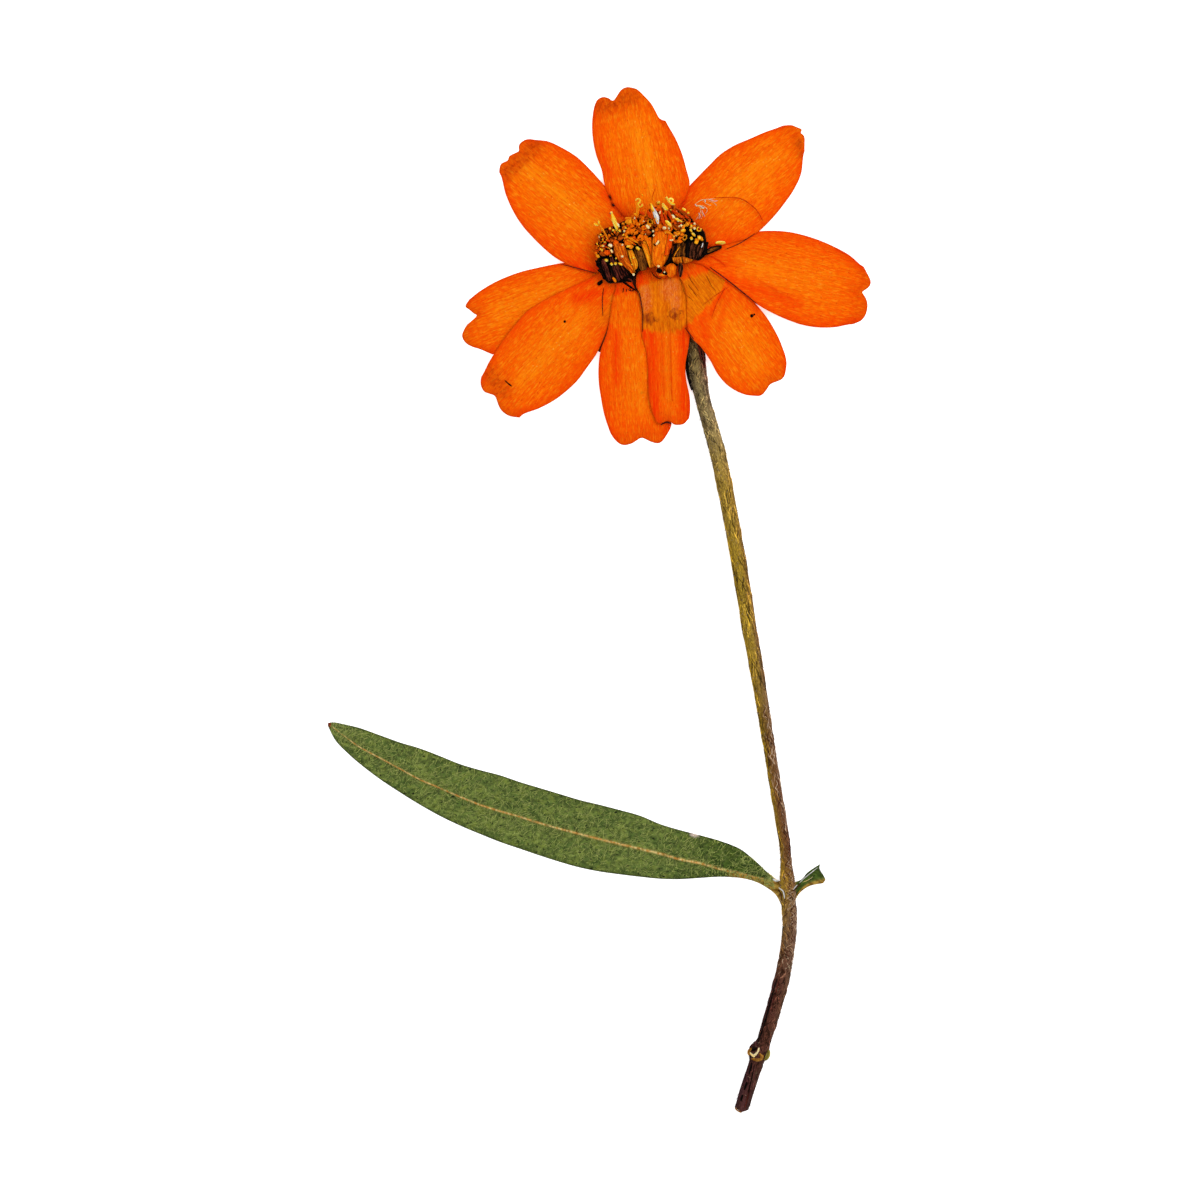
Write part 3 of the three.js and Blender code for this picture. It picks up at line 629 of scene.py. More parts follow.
# Florets that stand out: x, y, radius, how long for its width, its turn in degrees, tint and hollow.
large_florets = (
    (3.6, 47.25, 0.5, 1.15, 60, "gold", 0), (4.15, 45.9, 0.5, 1.2, -20, "orange", 0),
    (3.0, 46.5, 0.36, 1.2, 70, "orange", 0), (2.55, 45.25, 0.42, 1.2, 80, "brown", 0),
    (1.95, 44.6, 0.42, 1.1, 60, "flame", 0), (3.55, 44.6, 0.45, 1.3, 10, "orange", 0),
    (3.9, 44.1, 0.3, 1.2, 0, "gold", 0), (4.85, 46.2, 0.4, 1.1, 40, "brown", 0),
    (5.5, 46.5, 0.42, 1.1, 20, "orange", 0), (5.1, 45.2, 0.42, 1.2, -30, "orange", 0),
    (6.0, 45.9, 0.42, 1.2, 80, "brown", 0), (5.7, 45.2, 0.36, 1.3, -60, "orange", 0),
    (5.2, 47.2, 0.36, 1.2, 60, "orange", 0), (5.9, 47.5, 0.34, 1.3, 100, "brown", 0),
    (4.7, 47.8, 0.3, 1.2, 60, "brown", 1), (6.75, 46.5, 0.34, 1.0, 0, "brown", 1),
    (7.3, 46.6, 0.3, 1.1, 0, "orange", 0), (7.25, 45.7, 0.36, 1.3, 30, "orange", 0),
    (8.35, 46.0, 0.4, 1.3, 10, "orange", 0), (7.75, 45.6, 0.46, 1.2, 90, "flame", 0),
    (9.6, 45.75, 0.38, 1.2, 20, "gold", 0), (10.3, 46.1, 0.26, 1.6, 15, "gold", 0),
    (10.55, 45.2, 0.36, 1.3, 80, "gold", 1), (9.9, 44.75, 0.34, 1.4, 0, "orange", 0),
    (9.15, 45.15, 0.34, 1.3, 80, "orange", 0), (12.05, 44.75, 0.34, 1.2, 70, "gold", 0),
    (12.6, 45.15, 0.3, 1.7, -35, "gold", 0), (10.9, 46.95, 0.38, 1.2, 40, "gold", 0),
    (9.6, 46.5, 0.36, 1.5, -15, "orange", 0), (8.7, 46.9, 0.3, 1.2, 60, "orange", 0),
    (0.3, 43.2, 0.34, 1.3, -30, "brown", 0), (0.9, 43.4, 0.4, 1.2, 0, "flame", 0),
    (-0.3, 42.95, 0.22, 1.8, -50, "gold", 0), (11.35, 46.5, 0.2, 1.3, 0, "gold", 0),
    (12.3, 46.35, 0.26, 1.4, 10, "red", 1), (5.05, 44.55, 0.3, 1.2, 40, "brown", 1),
)

# Fans of narrow dry scales: the line of their feet, the line of their tips, and a tint for each.
scale_fans = (
    (((9.0, 42.7), (10.3, 42.5), (11.6, 42.5), (12.7, 42.8)),
     ((9.1, 44.6), (10.4, 44.8), (12.0, 44.7), (13.2, 44.6)),
     ("brown", "brown", "husk", "olive", "olive", "husk", "olive", "husk", "black", "husk", "husk", "black",
      "husk", "black", "husk", "black", "black")),
    (((0.6, 40.1), (1.6, 39.8), (2.8, 40.0), (3.9, 40.4)),
     ((-0.2, 42.5), (0.7, 42.8), (1.9, 42.6), (3.0, 41.8)),
     ("black", "black", "maroon", "black", "maroon", "maroon", "black", "maroon", "maroon", "black", "maroon",
      "black", "maroon", "black", "black")),
)
# Single scales: tint, the path down the middle, width and height over the bed.
chaff = (
    ("black", ((3.0, 40.2), (3.6, 40.1), (4.1, 39.8)), 0.75, 0.35),
    ("maroon", ((3.5, 40.15), (3.8, 39.95), (4.05, 39.7)), 0.3, 0.5),
    ("silver", ((12.65, 44.0), (12.8, 44.3), (12.85, 44.6)), 0.14, 0.5),
    ("gold", ((9.15, 42.7), (9.5, 43.4), (9.95, 44.1)), 0.14, 0.55),
    ("black", ((12.0, 42.5), (12.8, 42.9), (13.4, 43.4)), 0.3, 0.4),
    ("black", ((13.0, 43.2), (14.0, 43.75), (15.2, 44.15)), 0.75, 0.3),
    ("olive", ((13.4, 43.45), (14.1, 43.8), (14.9, 44.05)), 0.4, 0.45),
)
# Broad dry corollas and straps below the florets, laid in this order: tint, left edge, right edge,
# height over the disc at the head, middle and foot, crown and pleats.
straps = (
    ("flame", ((7.0, 41.7), (6.9, 41.1), (7.1, 40.5), (7.5, 40.1)),
     ((8.6, 41.7), (8.7, 41.1), (8.4, 40.5), (7.9, 40.1)), (0.0, 0.05, -0.2), 0.1, 3),
    ("amber", ((8.95, 42.75), (9.1, 42.3), (9.4, 42.05)), ((10.2, 42.85), (10.3, 42.2), (10.2, 41.8)),
     (0.3, 0.3, 0.1), 0.1, 5),
    ("amber", ((10.25, 42.9), (10.35, 42.4), (10.5, 42.0)), ((11.6, 42.5), (11.5, 42.3), (11.2, 42.2)),
     (0.25, 0.25, 0.1), 0.1, 5),
    ("olive", ((4.15, 43.7), (4.4, 42.9), (4.7, 41.9), (5.1, 41.1)),
     ((5.3, 43.9), (5.65, 42.9), (5.9, 41.9), (5.75, 41.2)), (0.1, 0.2, 0.15), 0.15, 5),
    ("gold", ((3.2, 43.9), (3.5, 43.1), (3.8, 42.2), (4.1, 41.2), (4.2, 40.8)),
     ((4.05, 43.7), (4.4, 42.9), (4.7, 42.1), (4.65, 41.4), (4.35, 40.9)), (0.2, 0.3, 0.2), 0.15, 3),
    ("gold", ((5.0, 44.7), (5.5, 43.4), (5.95, 42.1), (6.2, 41.5)),
     ((5.8, 44.9), (6.2, 43.6), (6.45, 42.3), (6.55, 41.5)), (0.4, 0.4, 0.1), 0.12, 3),
    ("orange", ((5.6, 45.1), (6.1, 43.9), (6.35, 42.8), (6.5, 41.6)),
     ((6.4, 45.3), (6.7, 43.9), (6.8, 42.9), (6.9, 41.6)), (0.5, 0.5, 0.15), 0.12, 3),
    ("rust", ((1.7, 44.6), (1.7, 43.7), (2.0, 42.8), (2.7, 41.9), (3.4, 41.3), (4.0, 40.7)),
     ((2.9, 44.5), (3.3, 43.7), (3.5, 42.9), (3.8, 42.1), (4.1, 41.4), (4.25, 40.7)),
     (0.5, 0.5, 0.3), 0.25, 3),
    ("orange", ((6.8, 46.0), (6.55, 45.0), (6.5, 44.0), (6.45, 43.0), (6.6, 42.0), (7.1, 41.5)),
     ((8.8, 45.8), (8.95, 44.9), (8.85, 43.9), (8.6, 43.0), (8.2, 42.1), (7.7, 41.5)),
     (0.6, 0.7, 0.4), 0.3, 5),
    ("flame", ((8.6, 46.0), (8.4, 45.0), (8.2, 44.0), (8.0, 43.0)),
     ((8.95, 45.6), (9.0, 44.8), (8.9, 43.9), (8.6, 43.0)), (0.75, 0.8, 0.6), 0.1, 0),
    ("orange", ((8.75, 42.0), (8.15, 41.5), (8.25, 40.8), (8.6, 40.3)),
     ((9.2, 42.0), (9.6, 41.5), (9.5, 40.8), (9.1, 40.3)), (0.2, 0.35, 0.0), 0.15, 3),
    ("husk", ((9.85, 42.1), (9.75, 41.3), (9.9, 40.4)), ((10.25, 42.0), (10.4, 41.3), (10.15, 40.3)),
     (0.1, 0.2, 0.0), 0.08, 0),
    ("silver", ((6.5, 49.1), (6.62, 48.2), (7.1, 47.0)), ((6.7, 49.1), (7.35, 47.9), (7.3, 46.9)),
     (1.0, 1.15, 1.0), 0.06, 3),
)
# Black rims and lines: path and width.
black_lines = (
    (((8.9, 43.9), (8.75, 42.9), (8.4, 42.2), (8.05, 41.6)), 0.3),
    (((7.05, 41.2), (7.4, 41.1), (7.75, 41.0)), 0.6),
    (((7.8, 40.95), (8.1, 40.8), (8.4, 40.7)), 0.45),
    (((6.45, 41.0), (6.75, 40.5), (7.4, 40.15), (7.8, 40.3)), 0.12),
    (((2.8, 39.8), (3.5, 39.3), (4.5, 38.65)), 0.28),
    (((-0.3, 39.4), (0.0, 39.6), (0.3, 39.9)), 0.5),
    (((-0.5, 41.9), (-0.1, 41.6), (0.2, 41.3)), 0.3),
    (((-0.6, 42.4), (-0.35, 42.2), (0.0, 42.1)), 0.25),
    (((-0.3, 41.2), (0.1, 41.0), (0.4, 40.6)), 0.3),
    (((9.4, 44.3), (9.0, 43.0), (8.5, 42.0)), 0.2),
    (((3.3, 43.8), (3.8, 43.75), (4.4, 43.9)), 0.16),
    (((7.2, 44.4), (7.35, 44.6), (7.45, 44.75)), 0.22),
    (((6.7, 44.5), (6.8, 44.3), (6.95, 44.15)), 0.16),
    (((4.3, 41.0), (4.5, 41.2), (4.75, 41.4)), 0.14),
)

# Small grains on the disc: tint, then beads as x, y and radius, or bars as x0, y0, x1, y1 and radius.
grains = (
    ("yellow", (
        (5.28, 50.6, 0.1), (6.38, 49.45, 0.15), (6.55, 48.95, 0.13), (7.1, 49.65, 7.5, 49.6, 0.22),
        (10.25, 48.95, 10.7, 48.6, 0.17), (11.0, 48.35, 0.15), (10.85, 47.8, 0.15),
        (8.15, 47.4, 8.95, 46.5, 0.2), (9.3, 47.65, 10.3, 47.2, 0.14), (11.4, 46.75, 0.17),
        (10.1, 46.05, 10.6, 46.25, 0.16), (11.25, 46.35, 11.45, 45.95, 0.16),
        (11.4, 45.85, 11.9, 45.45, 0.18),
        (11.4, 45.15, 0.19), (12.2, 45.4, 12.5, 45.05, 0.17), (1.24, 46.4, 0.16), (1.64, 46.15, 0.16),
        (2.44, 46.1, 0.17), (0.1, 45.6, 0.14), (0.3, 44.25, 0.13), (0.1, 43.8, 0.11),
        (0.8, 42.45, 0.22), (1.44, 41.95, 0.18), (1.94, 42.0, 0.18), (2.3, 42.1, 2.8, 41.8, 0.13),
        (4.18, 42.75, 0.17), (4.0, 41.9, 0.12), (3.3, 44.1, 3.8, 44.15, 0.15), (4.5, 44.1, 4.95, 43.7, 0.19),
        (14.4, 44.6, 15.7, 44.65, 0.19), (0.3, 46.2, 0.13), (2.0, 42.65, 0.12),
    )),
    ("cream", (
        (1.44, 48.4, 0.18), (2.1, 47.05, 2.4, 46.55, 0.15), (5.75, 46.8, 6.15, 46.35, 0.15),
        (6.63, 46.05, 0.14), (7.8, 46.45, 8.25, 46.4, 0.18), (3.0, 46.05, 0.15),
        (1.1, 44.45, 1.45, 44.05, 0.2), (1.35, 43.75, 1.55, 43.35, 0.13), (2.79, 42.9, 0.16),
        (7.0, 44.3, 7.35, 44.85, 0.12), (8.65, 47.85, 8.95, 47.95, 0.14), (8.95, 48.1, 9.3, 47.65, 0.17),
        (10.0, 46.8, 10.25, 46.7, 0.17), (11.8, 47.0, 0.15), (11.8, 46.4, 0.17), (4.18, 40.65, 0.17),
        (7.3, 41.65, 0.17), (8.05, 40.95, 0.12), (8.3, 50.25, 0.15), (2.8, 44.35, 0.13), (9.75, 47.3, 0.13),
        (6.7, 45.5, 0.12), (0.45, 44.2, 0.12), (7.95, 49.4, 0.14),
    )),
    ("gold", (
        (3.5, 45.25, 4.75, 44.55, 0.13), (3.3, 44.95, 4.5, 44.3, 0.1), (9.4, 48.2, 10.4, 47.75, 0.17),
        (8.1, 45.95, 8.9, 45.7, 0.14), (4.2, 48.2, 4.9, 47.7, 0.14), (3.1, 47.6, 3.9, 47.75, 0.12),
        (4.1, 47.6, 4.3, 46.9, 0.12), (1.6, 40.3, 2.0, 39.7, 0.17), (7.3, 40.55, 8.1, 40.5, 0.13),
    )),
    ("red", (
        (7.5, 48.9, 7.95, 46.9, 0.24), (8.4, 48.7, 9.0, 47.4, 0.2), (8.9, 48.7, 10.5, 47.7, 0.2),
        (8.0, 48.2, 8.4, 47.3, 0.16), (10.6, 48.0, 11.2, 47.5, 0.18), (12.1, 46.5, 12.7, 46.35, 0.1),
        (4.9, 48.5, 5.6, 48.1, 0.2), (5.9, 48.6, 6.5, 47.6, 0.18),
    )),
    ("brown", (
        (9.5, 48.9, 11.2, 47.7, 0.14), (8.9, 49.2, 9.5, 48.8, 0.2), (4.7, 47.9, 5.1, 47.5, 0.14),
        (11.1, 47.6, 0.2), (9.2, 46.9, 9.9, 46.2, 0.16),
    )),
)
# Anthers and styles that rise from the florets: tint and a path of x, y, height over the disc and radius.
styles = (
    ("yellow", (
        (2.15, 46.2, 0.9, 0.14), (1.9, 47.0, 1.0, 0.27), (1.68, 47.6, 1.1, 0.3),
        (1.52, 48.1, 1.15, 0.16), (1.42, 48.5, 1.15, 0.06),
    )),
    ("yellow", (
        (-0.2, 46.75, 0.9, 0.1), (-0.45, 46.85, 0.95, 0.15), (-0.68, 46.93, 0.95, 0.12),
        (-0.82, 46.95, 0.95, 0.04),
    )),
    ("yellow", ((-0.1, 46.9, 0.9, 0.1), (-0.13, 47.15, 0.95, 0.14), (-0.18, 47.4, 0.95, 0.06))),
    ("yellow", ((6.42, 49.4, 1.1, 0.12), (6.5, 48.9, 1.15, 0.18), (6.7, 48.5, 1.1, 0.1))),
    ("yellow", (
        (8.45, 48.7, 0.9, 0.14), (8.25, 48.85, 1.1, 0.25), (7.95, 49.2, 1.15, 0.2),
        (7.8, 49.55, 1.15, 0.1),
    )),
    ("yellow", (
        (9.35, 49.35, 1.1, 0.12), (8.95, 49.5, 1.15, 0.17), (8.6, 49.75, 1.15, 0.15),
        (8.4, 50.1, 1.15, 0.12), (8.25, 50.3, 1.15, 0.16),
    )),
    ("amber", ((9.2, 48.4, 0.7, 0.1), (9.3, 48.9, 1.0, 0.1), (9.3, 49.35, 1.1, 0.1))),
    ("gold", (
        (1.0, 45.0, 0.6, 0.12), (0.5, 46.0, 0.8, 0.12), (0.1, 46.6, 0.9, 0.11),
        (-0.12, 47.0, 0.95, 0.09),
    )),
    ("gold", (
        (4.7, 47.9, 0.8, 0.18), (4.72, 48.7, 0.95, 0.2), (4.65, 49.4, 1.0, 0.15),
        (4.6, 49.75, 1.0, 0.1),
    )),
    ("orange", ((6.9, 46.9, 0.8, 0.14), (6.5, 48.2, 1.0, 0.14), (6.35, 49.2, 1.0, 0.12))),
    ("orange", ((8.3, 48.0, 0.8, 0.16), (8.1, 48.8, 1.0, 0.18), (7.95, 49.3, 1.05, 0.12))),
)
# Curled styles: x, y, height, radius, thickness and the side that stays open.
style_loops = (
    (4.75, 49.85, 1.0, 0.25, 0.11, 3.6),
    (5.0, 49.35, 1.0, 0.28, 0.12, 0.8),
    (8.85, 49.85, 1.15, 0.27, 0.12, 4.2),
    (12.35, 46.3, 0.8, 0.24, 0.08, 1.0),
)

# Fine lines, crumbs and membranes that lie on the flower, and painted shadow lines where one petal lies over
# the next: tint, path and radius.
petal_lines = (
    ("cream", ((11.8, 49.4), (12.6, 49.95), (13.3, 50.05), (14.4, 50.15)), 0.035),
    ("cream", ((12.2, 49.4), (12.55, 48.9), (12.5, 48.3), (12.0, 47.5)), 0.03),
    ("cream", ((12.3, 49.3), (12.9, 49.25), (13.4, 48.8), (13.2, 48.3)), 0.035),
    ("cream", ((12.9, 49.9), (13.3, 49.5), (13.9, 49.3)), 0.03),
    ("cream", ((12.0, 49.2), (12.5, 49.3)), 0.07),
    ("cream", ((12.5, 49.0), (13.0, 48.9)), 0.05),
    ("cream", ((13.5, 49.9), (14.3, 49.6), (14.6, 49.2)), 0.025),
    ("cream", ((12.6, 48.6), (12.8, 48.1), (12.6, 47.6)), 0.025),
    ("silver", ((12.45, 49.25), (12.75, 49.1), (13.05, 48.95)), 0.08),
    ("silver", ((11.85, 49.45), (12.1, 49.25)), 0.07),
    ("silver", ((12.3, 48.4), (12.5, 48.0), (12.35, 47.6)), 0.04),
    ("silver", ((12.7, 48.7), (12.95, 48.2), (13.1, 47.9)), 0.035),
    ("silver", ((13.1, 50.0), (13.2, 49.7)), 0.07),
    ("silver", ((13.6, 50.1), (14.2, 49.85), (14.7, 49.9)), 0.04),
    ("maroon", ((2.95, 38.95), (2.85, 38.4)), 0.06),
    ("maroon", ((3.35, 38.9), (3.3, 38.5)), 0.05),
    ("maroon", ((3.5, 38.8), (3.9, 38.6), (4.3, 38.75)), 0.06),
    ("maroon", ((3.7, 39.0), (3.8, 38.7)), 0.05),
    ("maroon", ((7.6, 21.9), (8.2, 22.2), (8.6, 22.15), (8.95, 22.0)), 0.1),
    ("black", ((18.8, 35.65), (19.15, 35.4)), 0.3),
    ("black", ((19.2, 35.6), (19.35, 35.75)), 0.14),
    ("black", ((-4.55, 34.85), (-4.25, 34.75)), 0.22),
    ("black", ((-11.9, 27.45), (-11.4, 27.0), (-11.0, 26.7)), 0.09),
    # Painted shadow: dark lines along the edges where one petal lies over the next.
    ("maroon", ((13.7, 41.6), (16.5, 39.5), (19.7, 36.9)), 0.07),
    ("maroon", ((15.7, 43.8), (17.5, 44.6), (19.4, 45.8)), 0.05),
    ("maroon", ((-5.0, 42.0), (-2.6, 41.4), (-0.5, 40.8)), 0.05),
    ("red", ((14.3, 50.25), (17.4, 50.2), (19.4, 48.9), (20.35, 47.4)), 0.06),
    ("maroon", ((4.5, 39.0), (4.95, 38.1), (5.3, 36.0), (5.3, 33.5)), 0.06),
    ("maroon", ((10.6, 34.0), (11.3, 33.1), (11.7, 32.6)), 0.06),
    ("maroon", ((0.45, 39.0), (0.3, 37.5), (0.35, 35.5)), 0.05),
    ("red", ((15.65, 39.1), (14.55, 36.95), (14.0, 35.4)), 0.04),
    ("red", ((16.1, 39.1), (14.5, 38.1), (12.8, 36.8)), 0.035),
    ("brown", ((10.0, 40.2), (10.3, 39.1), (10.6, 38.3), (11.6, 37.4)), 0.035),
    ("brown", ((11.0, 39.4), (11.6, 38.6), (12.1, 37.9)), 0.03),
    ("brown", ((13.3, 40.5), (13.9, 39.3), (14.5, 38.6)), 0.03),
    ("brown", ((10.9, 40.9), (11.4, 39.9), (12.3, 38.6)), 0.03),
    ("maroon", ((1.1, 50.5), (1.35, 50.2)), 0.07),
    ("maroon", ((1.55, 49.5), (1.8, 49.2)), 0.12),
    ("red", ((1.8, 49.2), (2.3, 48.6), (2.75, 47.9)), 0.06),
    ("red", ((10.7, 50.1), (10.1, 49.4), (9.6, 48.6)), 0.03),
    ("red", ((6.9, 51.4), (6.6, 50.6), (6.5, 49.9)), 0.03),
    ("yellow", ((5.28, 50.55), (5.35, 50.65)), 0.12),
)
stem_lines = (
    # Ring of the node, with its hollow and its torn pale edge
    ("black", ((19.0, -56.05), (19.3, -56.1), (19.6, -55.95)), 0.3),
    ("bark", ((18.9, -56.0), (18.6, -56.4), (18.65, -56.9)), 0.2),
    ("bark", ((18.95, -57.3), (19.6, -57.45), (20.2, -57.3), (20.35, -56.8)), 0.2),
    ("bark", ((19.9, -56.6), (20.1, -56.9), (20.1, -57.2)), 0.16),
    ("moss", ((21.05, -56.2), (20.95, -56.9), (20.6, -57.5)), 0.3),
    ("cream", ((18.7, -56.5), (19.15, -56.92), (19.65, -56.5), (19.87, -55.95)), 0.15),
    ("cream", ((18.95, -56.7), (19.2, -57.0), (19.35, -56.85)), 0.14),
    # Grooves of the lower stem
    ("black", ((22.1, -47.3), (21.35, -50.0), (20.65, -52.6), (19.95, -54.6), (19.6, -55.5)), 0.09),
    ("maroon", ((22.6, -46.5), (22.0, -49.0), (21.3, -51.5)), 0.08),
    ("black", ((18.95, -57.8), (18.85, -58.5), (18.6, -59.2)), 0.13),
    ("black", ((18.4, -60.2), (18.05, -61.2)), 0.17),
    ("black", ((17.85, -61.8), (17.6, -62.6)), 0.16),
    ("black", ((19.3, -58.0), (19.05, -59.3), (18.75, -60.6), (18.55, -61.4)), 0.07),
    ("maroon", ((18.75, -61.0), (18.4, -62.4), (18.1, -63.4)), 0.08),
    # Cut end
    ("bark", ((16.85, -63.45), (17.2, -63.8), (17.7, -64.05)), 0.09),
    # Leaf bases and their hairs
    ("silver", ((22.35, -35.95), (22.9, -36.45), (23.05, -37.3)), 0.08),
    ("husk", ((22.2, -36.1), (22.6, -36.7), (22.7, -37.6)), 0.07),
    ("cream", ((21.0, -34.1), (21.6, -34.6), (22.2, -35.1)), 0.05),
    ("silver", ((21.6, -34.85), (21.9, -35.05), (22.3, -35.1)), 0.14),
    ("silver", ((24.15, -36.2), (24.4, -35.85), (24.65, -35.6)), 0.06),
    ("husk", ((24.15, -36.4), (24.6, -35.9), (25.05, -35.4)), 0.07),
    ("silver", ((24.9, -35.4), (25.5, -34.8), (26.3, -34.15), (27.2, -33.45)), 0.05),
    ("silver", ((27.4, -33.3), (27.5, -33.7), (27.75, -34.15)), 0.045),
    ("cream", ((25.3, -35.3), (26.0, -35.0), (26.6, -34.6)), 0.03),
    # Painted shadow along the left edge at the top of the stem (the black line), and dry membranes beside it
    ("black", ((10.8, 32.5), (10.8, 30.5), (10.9, 29.0), (11.15, 27.6), (11.5, 26.2)), 0.24),
    ("maroon", ((12.6, 32.4), (12.9, 30.9), (13.0, 29.0)), 0.26),
    ("maroon", ((12.1, 32.6), (12.45, 31.2), (12.7, 29.8)), 0.26),
)


def mix(a, b, t):
    return a + (b - a) * t


def ease(t):
    c = np.clip(t, 0.0, 1.0)
    return c * c * (3 - 2 * c)


def ramp(value, start, run):
    """0 up to the start, easing to 1 over the run."""
    return ease((value - start) / run)


def bell(distance, width):
    """1 at no distance, fading to 0 at about twice the width."""
    return np.exp(-((distance / width) ** 2))


def curve_at(values, step, at):
    """Reads evenly spaced values, single numbers or points, as a smooth curve."""
    values = np.asarray(values, float)
    place = np.clip(np.asarray(at, float) / step, 0, len(values) - 1.001)
    i = place.astype(int)
    t = place - i
    if values.ndim > 1:
        t = t[..., None]
    a = values[np.maximum(i - 1, 0)]
    b = values[i]
    c = values[i + 1]
    d = values[np.minimum(i + 2, len(values) - 1)]
    return b + 0.5 * t * (c - a + t * (2 * a - 5 * b + 4 * c - d + t * (3 * (b - c) + d - a)))


def smooth_path(points, steps):
    """A smooth curve through a few points, with the given number of steps between two of them."""
    return curve_at(points, 1.0, np.linspace(0, len(points) - 1, steps * (len(points) - 1) + 1))


def travelled(points):
    """The way along a path from its start to each of its points."""
    return np.concatenate([[0], np.cumsum(np.linalg.norm(np.diff(points, axis=0), axis=1))])


def headings(points):
    """The direction of a path at each of its points."""
    ahead = np.gradient(points, axis=0)
    return ahead / np.linalg.norm(ahead, axis=1)[:, None]


def distance(a, b):
    return math.hypot(b[0] - a[0], b[1] - a[1])


def on_floor(root, tip, across, along):
    """Turns distances across and along the line from a root to a tip into x and y."""
    length = distance(root, tip)
    ax = (tip[0] - root[0]) / length
    ay = (tip[1] - root[1]) / length
    return root[0] + ax * along + ay * across, root[1] + ay * along - ax * across


def stroke(x, y, path, width):
    """1 on a path of points, fading to 0 around it."""
    nearest = np.full(np.shape(x), 1e9)
    for (x0, y0), (x1, y1) in zip(path, path[1:] or path):
        dx = x1 - x0
        dy = y1 - y0
        t = np.clip(((x - x0) * dx + (y - y0) * dy) / (dx * dx + dy * dy + TINY), 0, 1)
        nearest = np.minimum(nearest, np.hypot(x - x0 - t * dx, y - y0 - t * dy))
    return bell(nearest, width)


def spot(x, y, centre, radii):
    """1 at a centre, fading to 0 at about the given radii."""
    return np.exp(-(((x - centre[0]) / radii[0]) ** 2 + ((y - centre[1]) / radii[1]) ** 2) ** 2)


def ripples(rng, across, along, count=6, finest=0.8):
    """A few overlaid gentle waves, between about -1 and 1."""
    total = np.zeros(np.shape(across))
    for _ in range(count):
        pitch = rng.uniform(0.25, finest)
        slant = rng.uniform(-0.6, 0.6)
        total += np.sin(along * pitch + across * slant + rng.uniform(0, 2 * math.pi))
    return total / math.sqrt(count)


def linear(colour):
    """A colour as seen in the photograph, 0 to 255, as the paint that gives it in this light."""
    tones = [c / 255 for c in colour]
    bright = [t / 12.92 if t <= 0.04045 else ((t + 0.055) / 1.055) ** 2.4 for t in tones]
    return tuple(b / LIGHT_LEVEL for b in bright)


# Materials

class Paint:
    """One procedural material, with short calls for the nodes that it uses."""

    def __init__(self, name, roughness, specular):
        self.material = bpy.data.materials.new(name)
        self.material.use_nodes = True
        self.tree = self.material.node_tree
        self.shader = self.tree.nodes["Principled BSDF"]
        self.fill(self.shader, {"Roughness": roughness, "Specular IOR Level": specular})

    def fill(self, node, inputs):
        """Sets inputs of a node, each to a value or to the output of another node."""
        for key, value in inputs.items():
            if isinstance(value, bpy.types.NodeSocket):
                self.tree.links.new(value, node.inputs[key])
            else:
                node.inputs[key].default_value = value
        return node

    def add(self, kind, inputs):
        return self.fill(self.tree.nodes.new(kind), inputs)

    def attribute(self, name, output="Fac"):
        node = self.tree.nodes.new("ShaderNodeAttribute")
        node.attribute_name = name
        return node.outputs[output]

    def noise(self, scale, detail=2.0, low=0.35, high=0.65):
        """Noise over the places given on the mesh, running from 0 to 1 between two of its levels."""
        place = self.attribute("place", "Vector")
        stretched = self.add("ShaderNodeMapping", {"Vector": place, "Scale": scale}).outputs["Vector"]
        noise = self.add("ShaderNodeTexNoise", {"Vector": stretched, "Scale": 1.0, "Detail": detail})
        return self.spread(noise.outputs["Fac"], low, high)

    def lines(self, scale, width):
        """Thin wandering lines, 1 on the lines and 0 between them."""
        middle = self.plus(self.noise(scale, 1.0, 0.0, 1.0), -0.5)
        return self.spread(self.math("ABSOLUTE", middle, 0.0), width, 0.0)

    def spread(self, value, low, high):
        """0 at the low level and 1 at the high one, with a smooth step between them."""
        node = self.add("ShaderNodeMapRange", {"Value": value, "From Min": low, "From Max": high})
        node.interpolation_type = "SMOOTHSTEP"
        return node.outputs["Result"]

    def math(self, operation, a, b):
        node = self.add("ShaderNodeMath", {0: a, 1: b})
        node.operation = operation
        return node.outputs[0]

    def times(self, a, b):
        return self.math("MULTIPLY", a, b)

    def plus(self, a, b):
        return self.math("ADD", a, b)

    def broken(self, name, least, texture, share):
        """An attribute of the mesh that a texture thins out, down to its least part."""
        return self.times(self.attribute(name), self.plus(least, self.times(texture, share)))

    def blend(self, factor, a, b):
        """A colour that goes from a to b, each a socket or a photograph colour."""
        node = self.tree.nodes.new("ShaderNodeMix")
        node.data_type = "RGBA"
        a, b = (tone if isinstance(tone, bpy.types.NodeSocket) else (*linear(tone), 1.0) for tone in (a, b))
        return self.fill(node, {0: factor, 6: a, 7: b}).outputs[2]

    def coats(self, colour, *coats):
        """A colour with others laid over it, each with its mask, or the attribute for it, and strength."""
        for mask, strength, tone in coats:
            if isinstance(mask, str):
                mask = self.attribute(mask)
            colour = self.blend(self.times(mask, strength), colour, tone)
        return colour

    def valued(self, colour, value, saturation):
        """The same hue with its brightness and saturation multiplied."""
        inputs = {"Value": value, "Saturation": saturation, "Color": colour}
        return self.add("ShaderNodeHueSaturation", inputs).outputs["Color"]

    def finish(self, colour, height=None, depth=0.0):
        self.fill(self.shader, {"Base Color": colour})
        if height is not None:
            bump = self.add("ShaderNodeBump", {"Height": height, "Distance": depth * MM, "Strength": 1.0})
            self.fill(self.shader, {"Normal": bump.outputs["Normal"]})
        return self.material


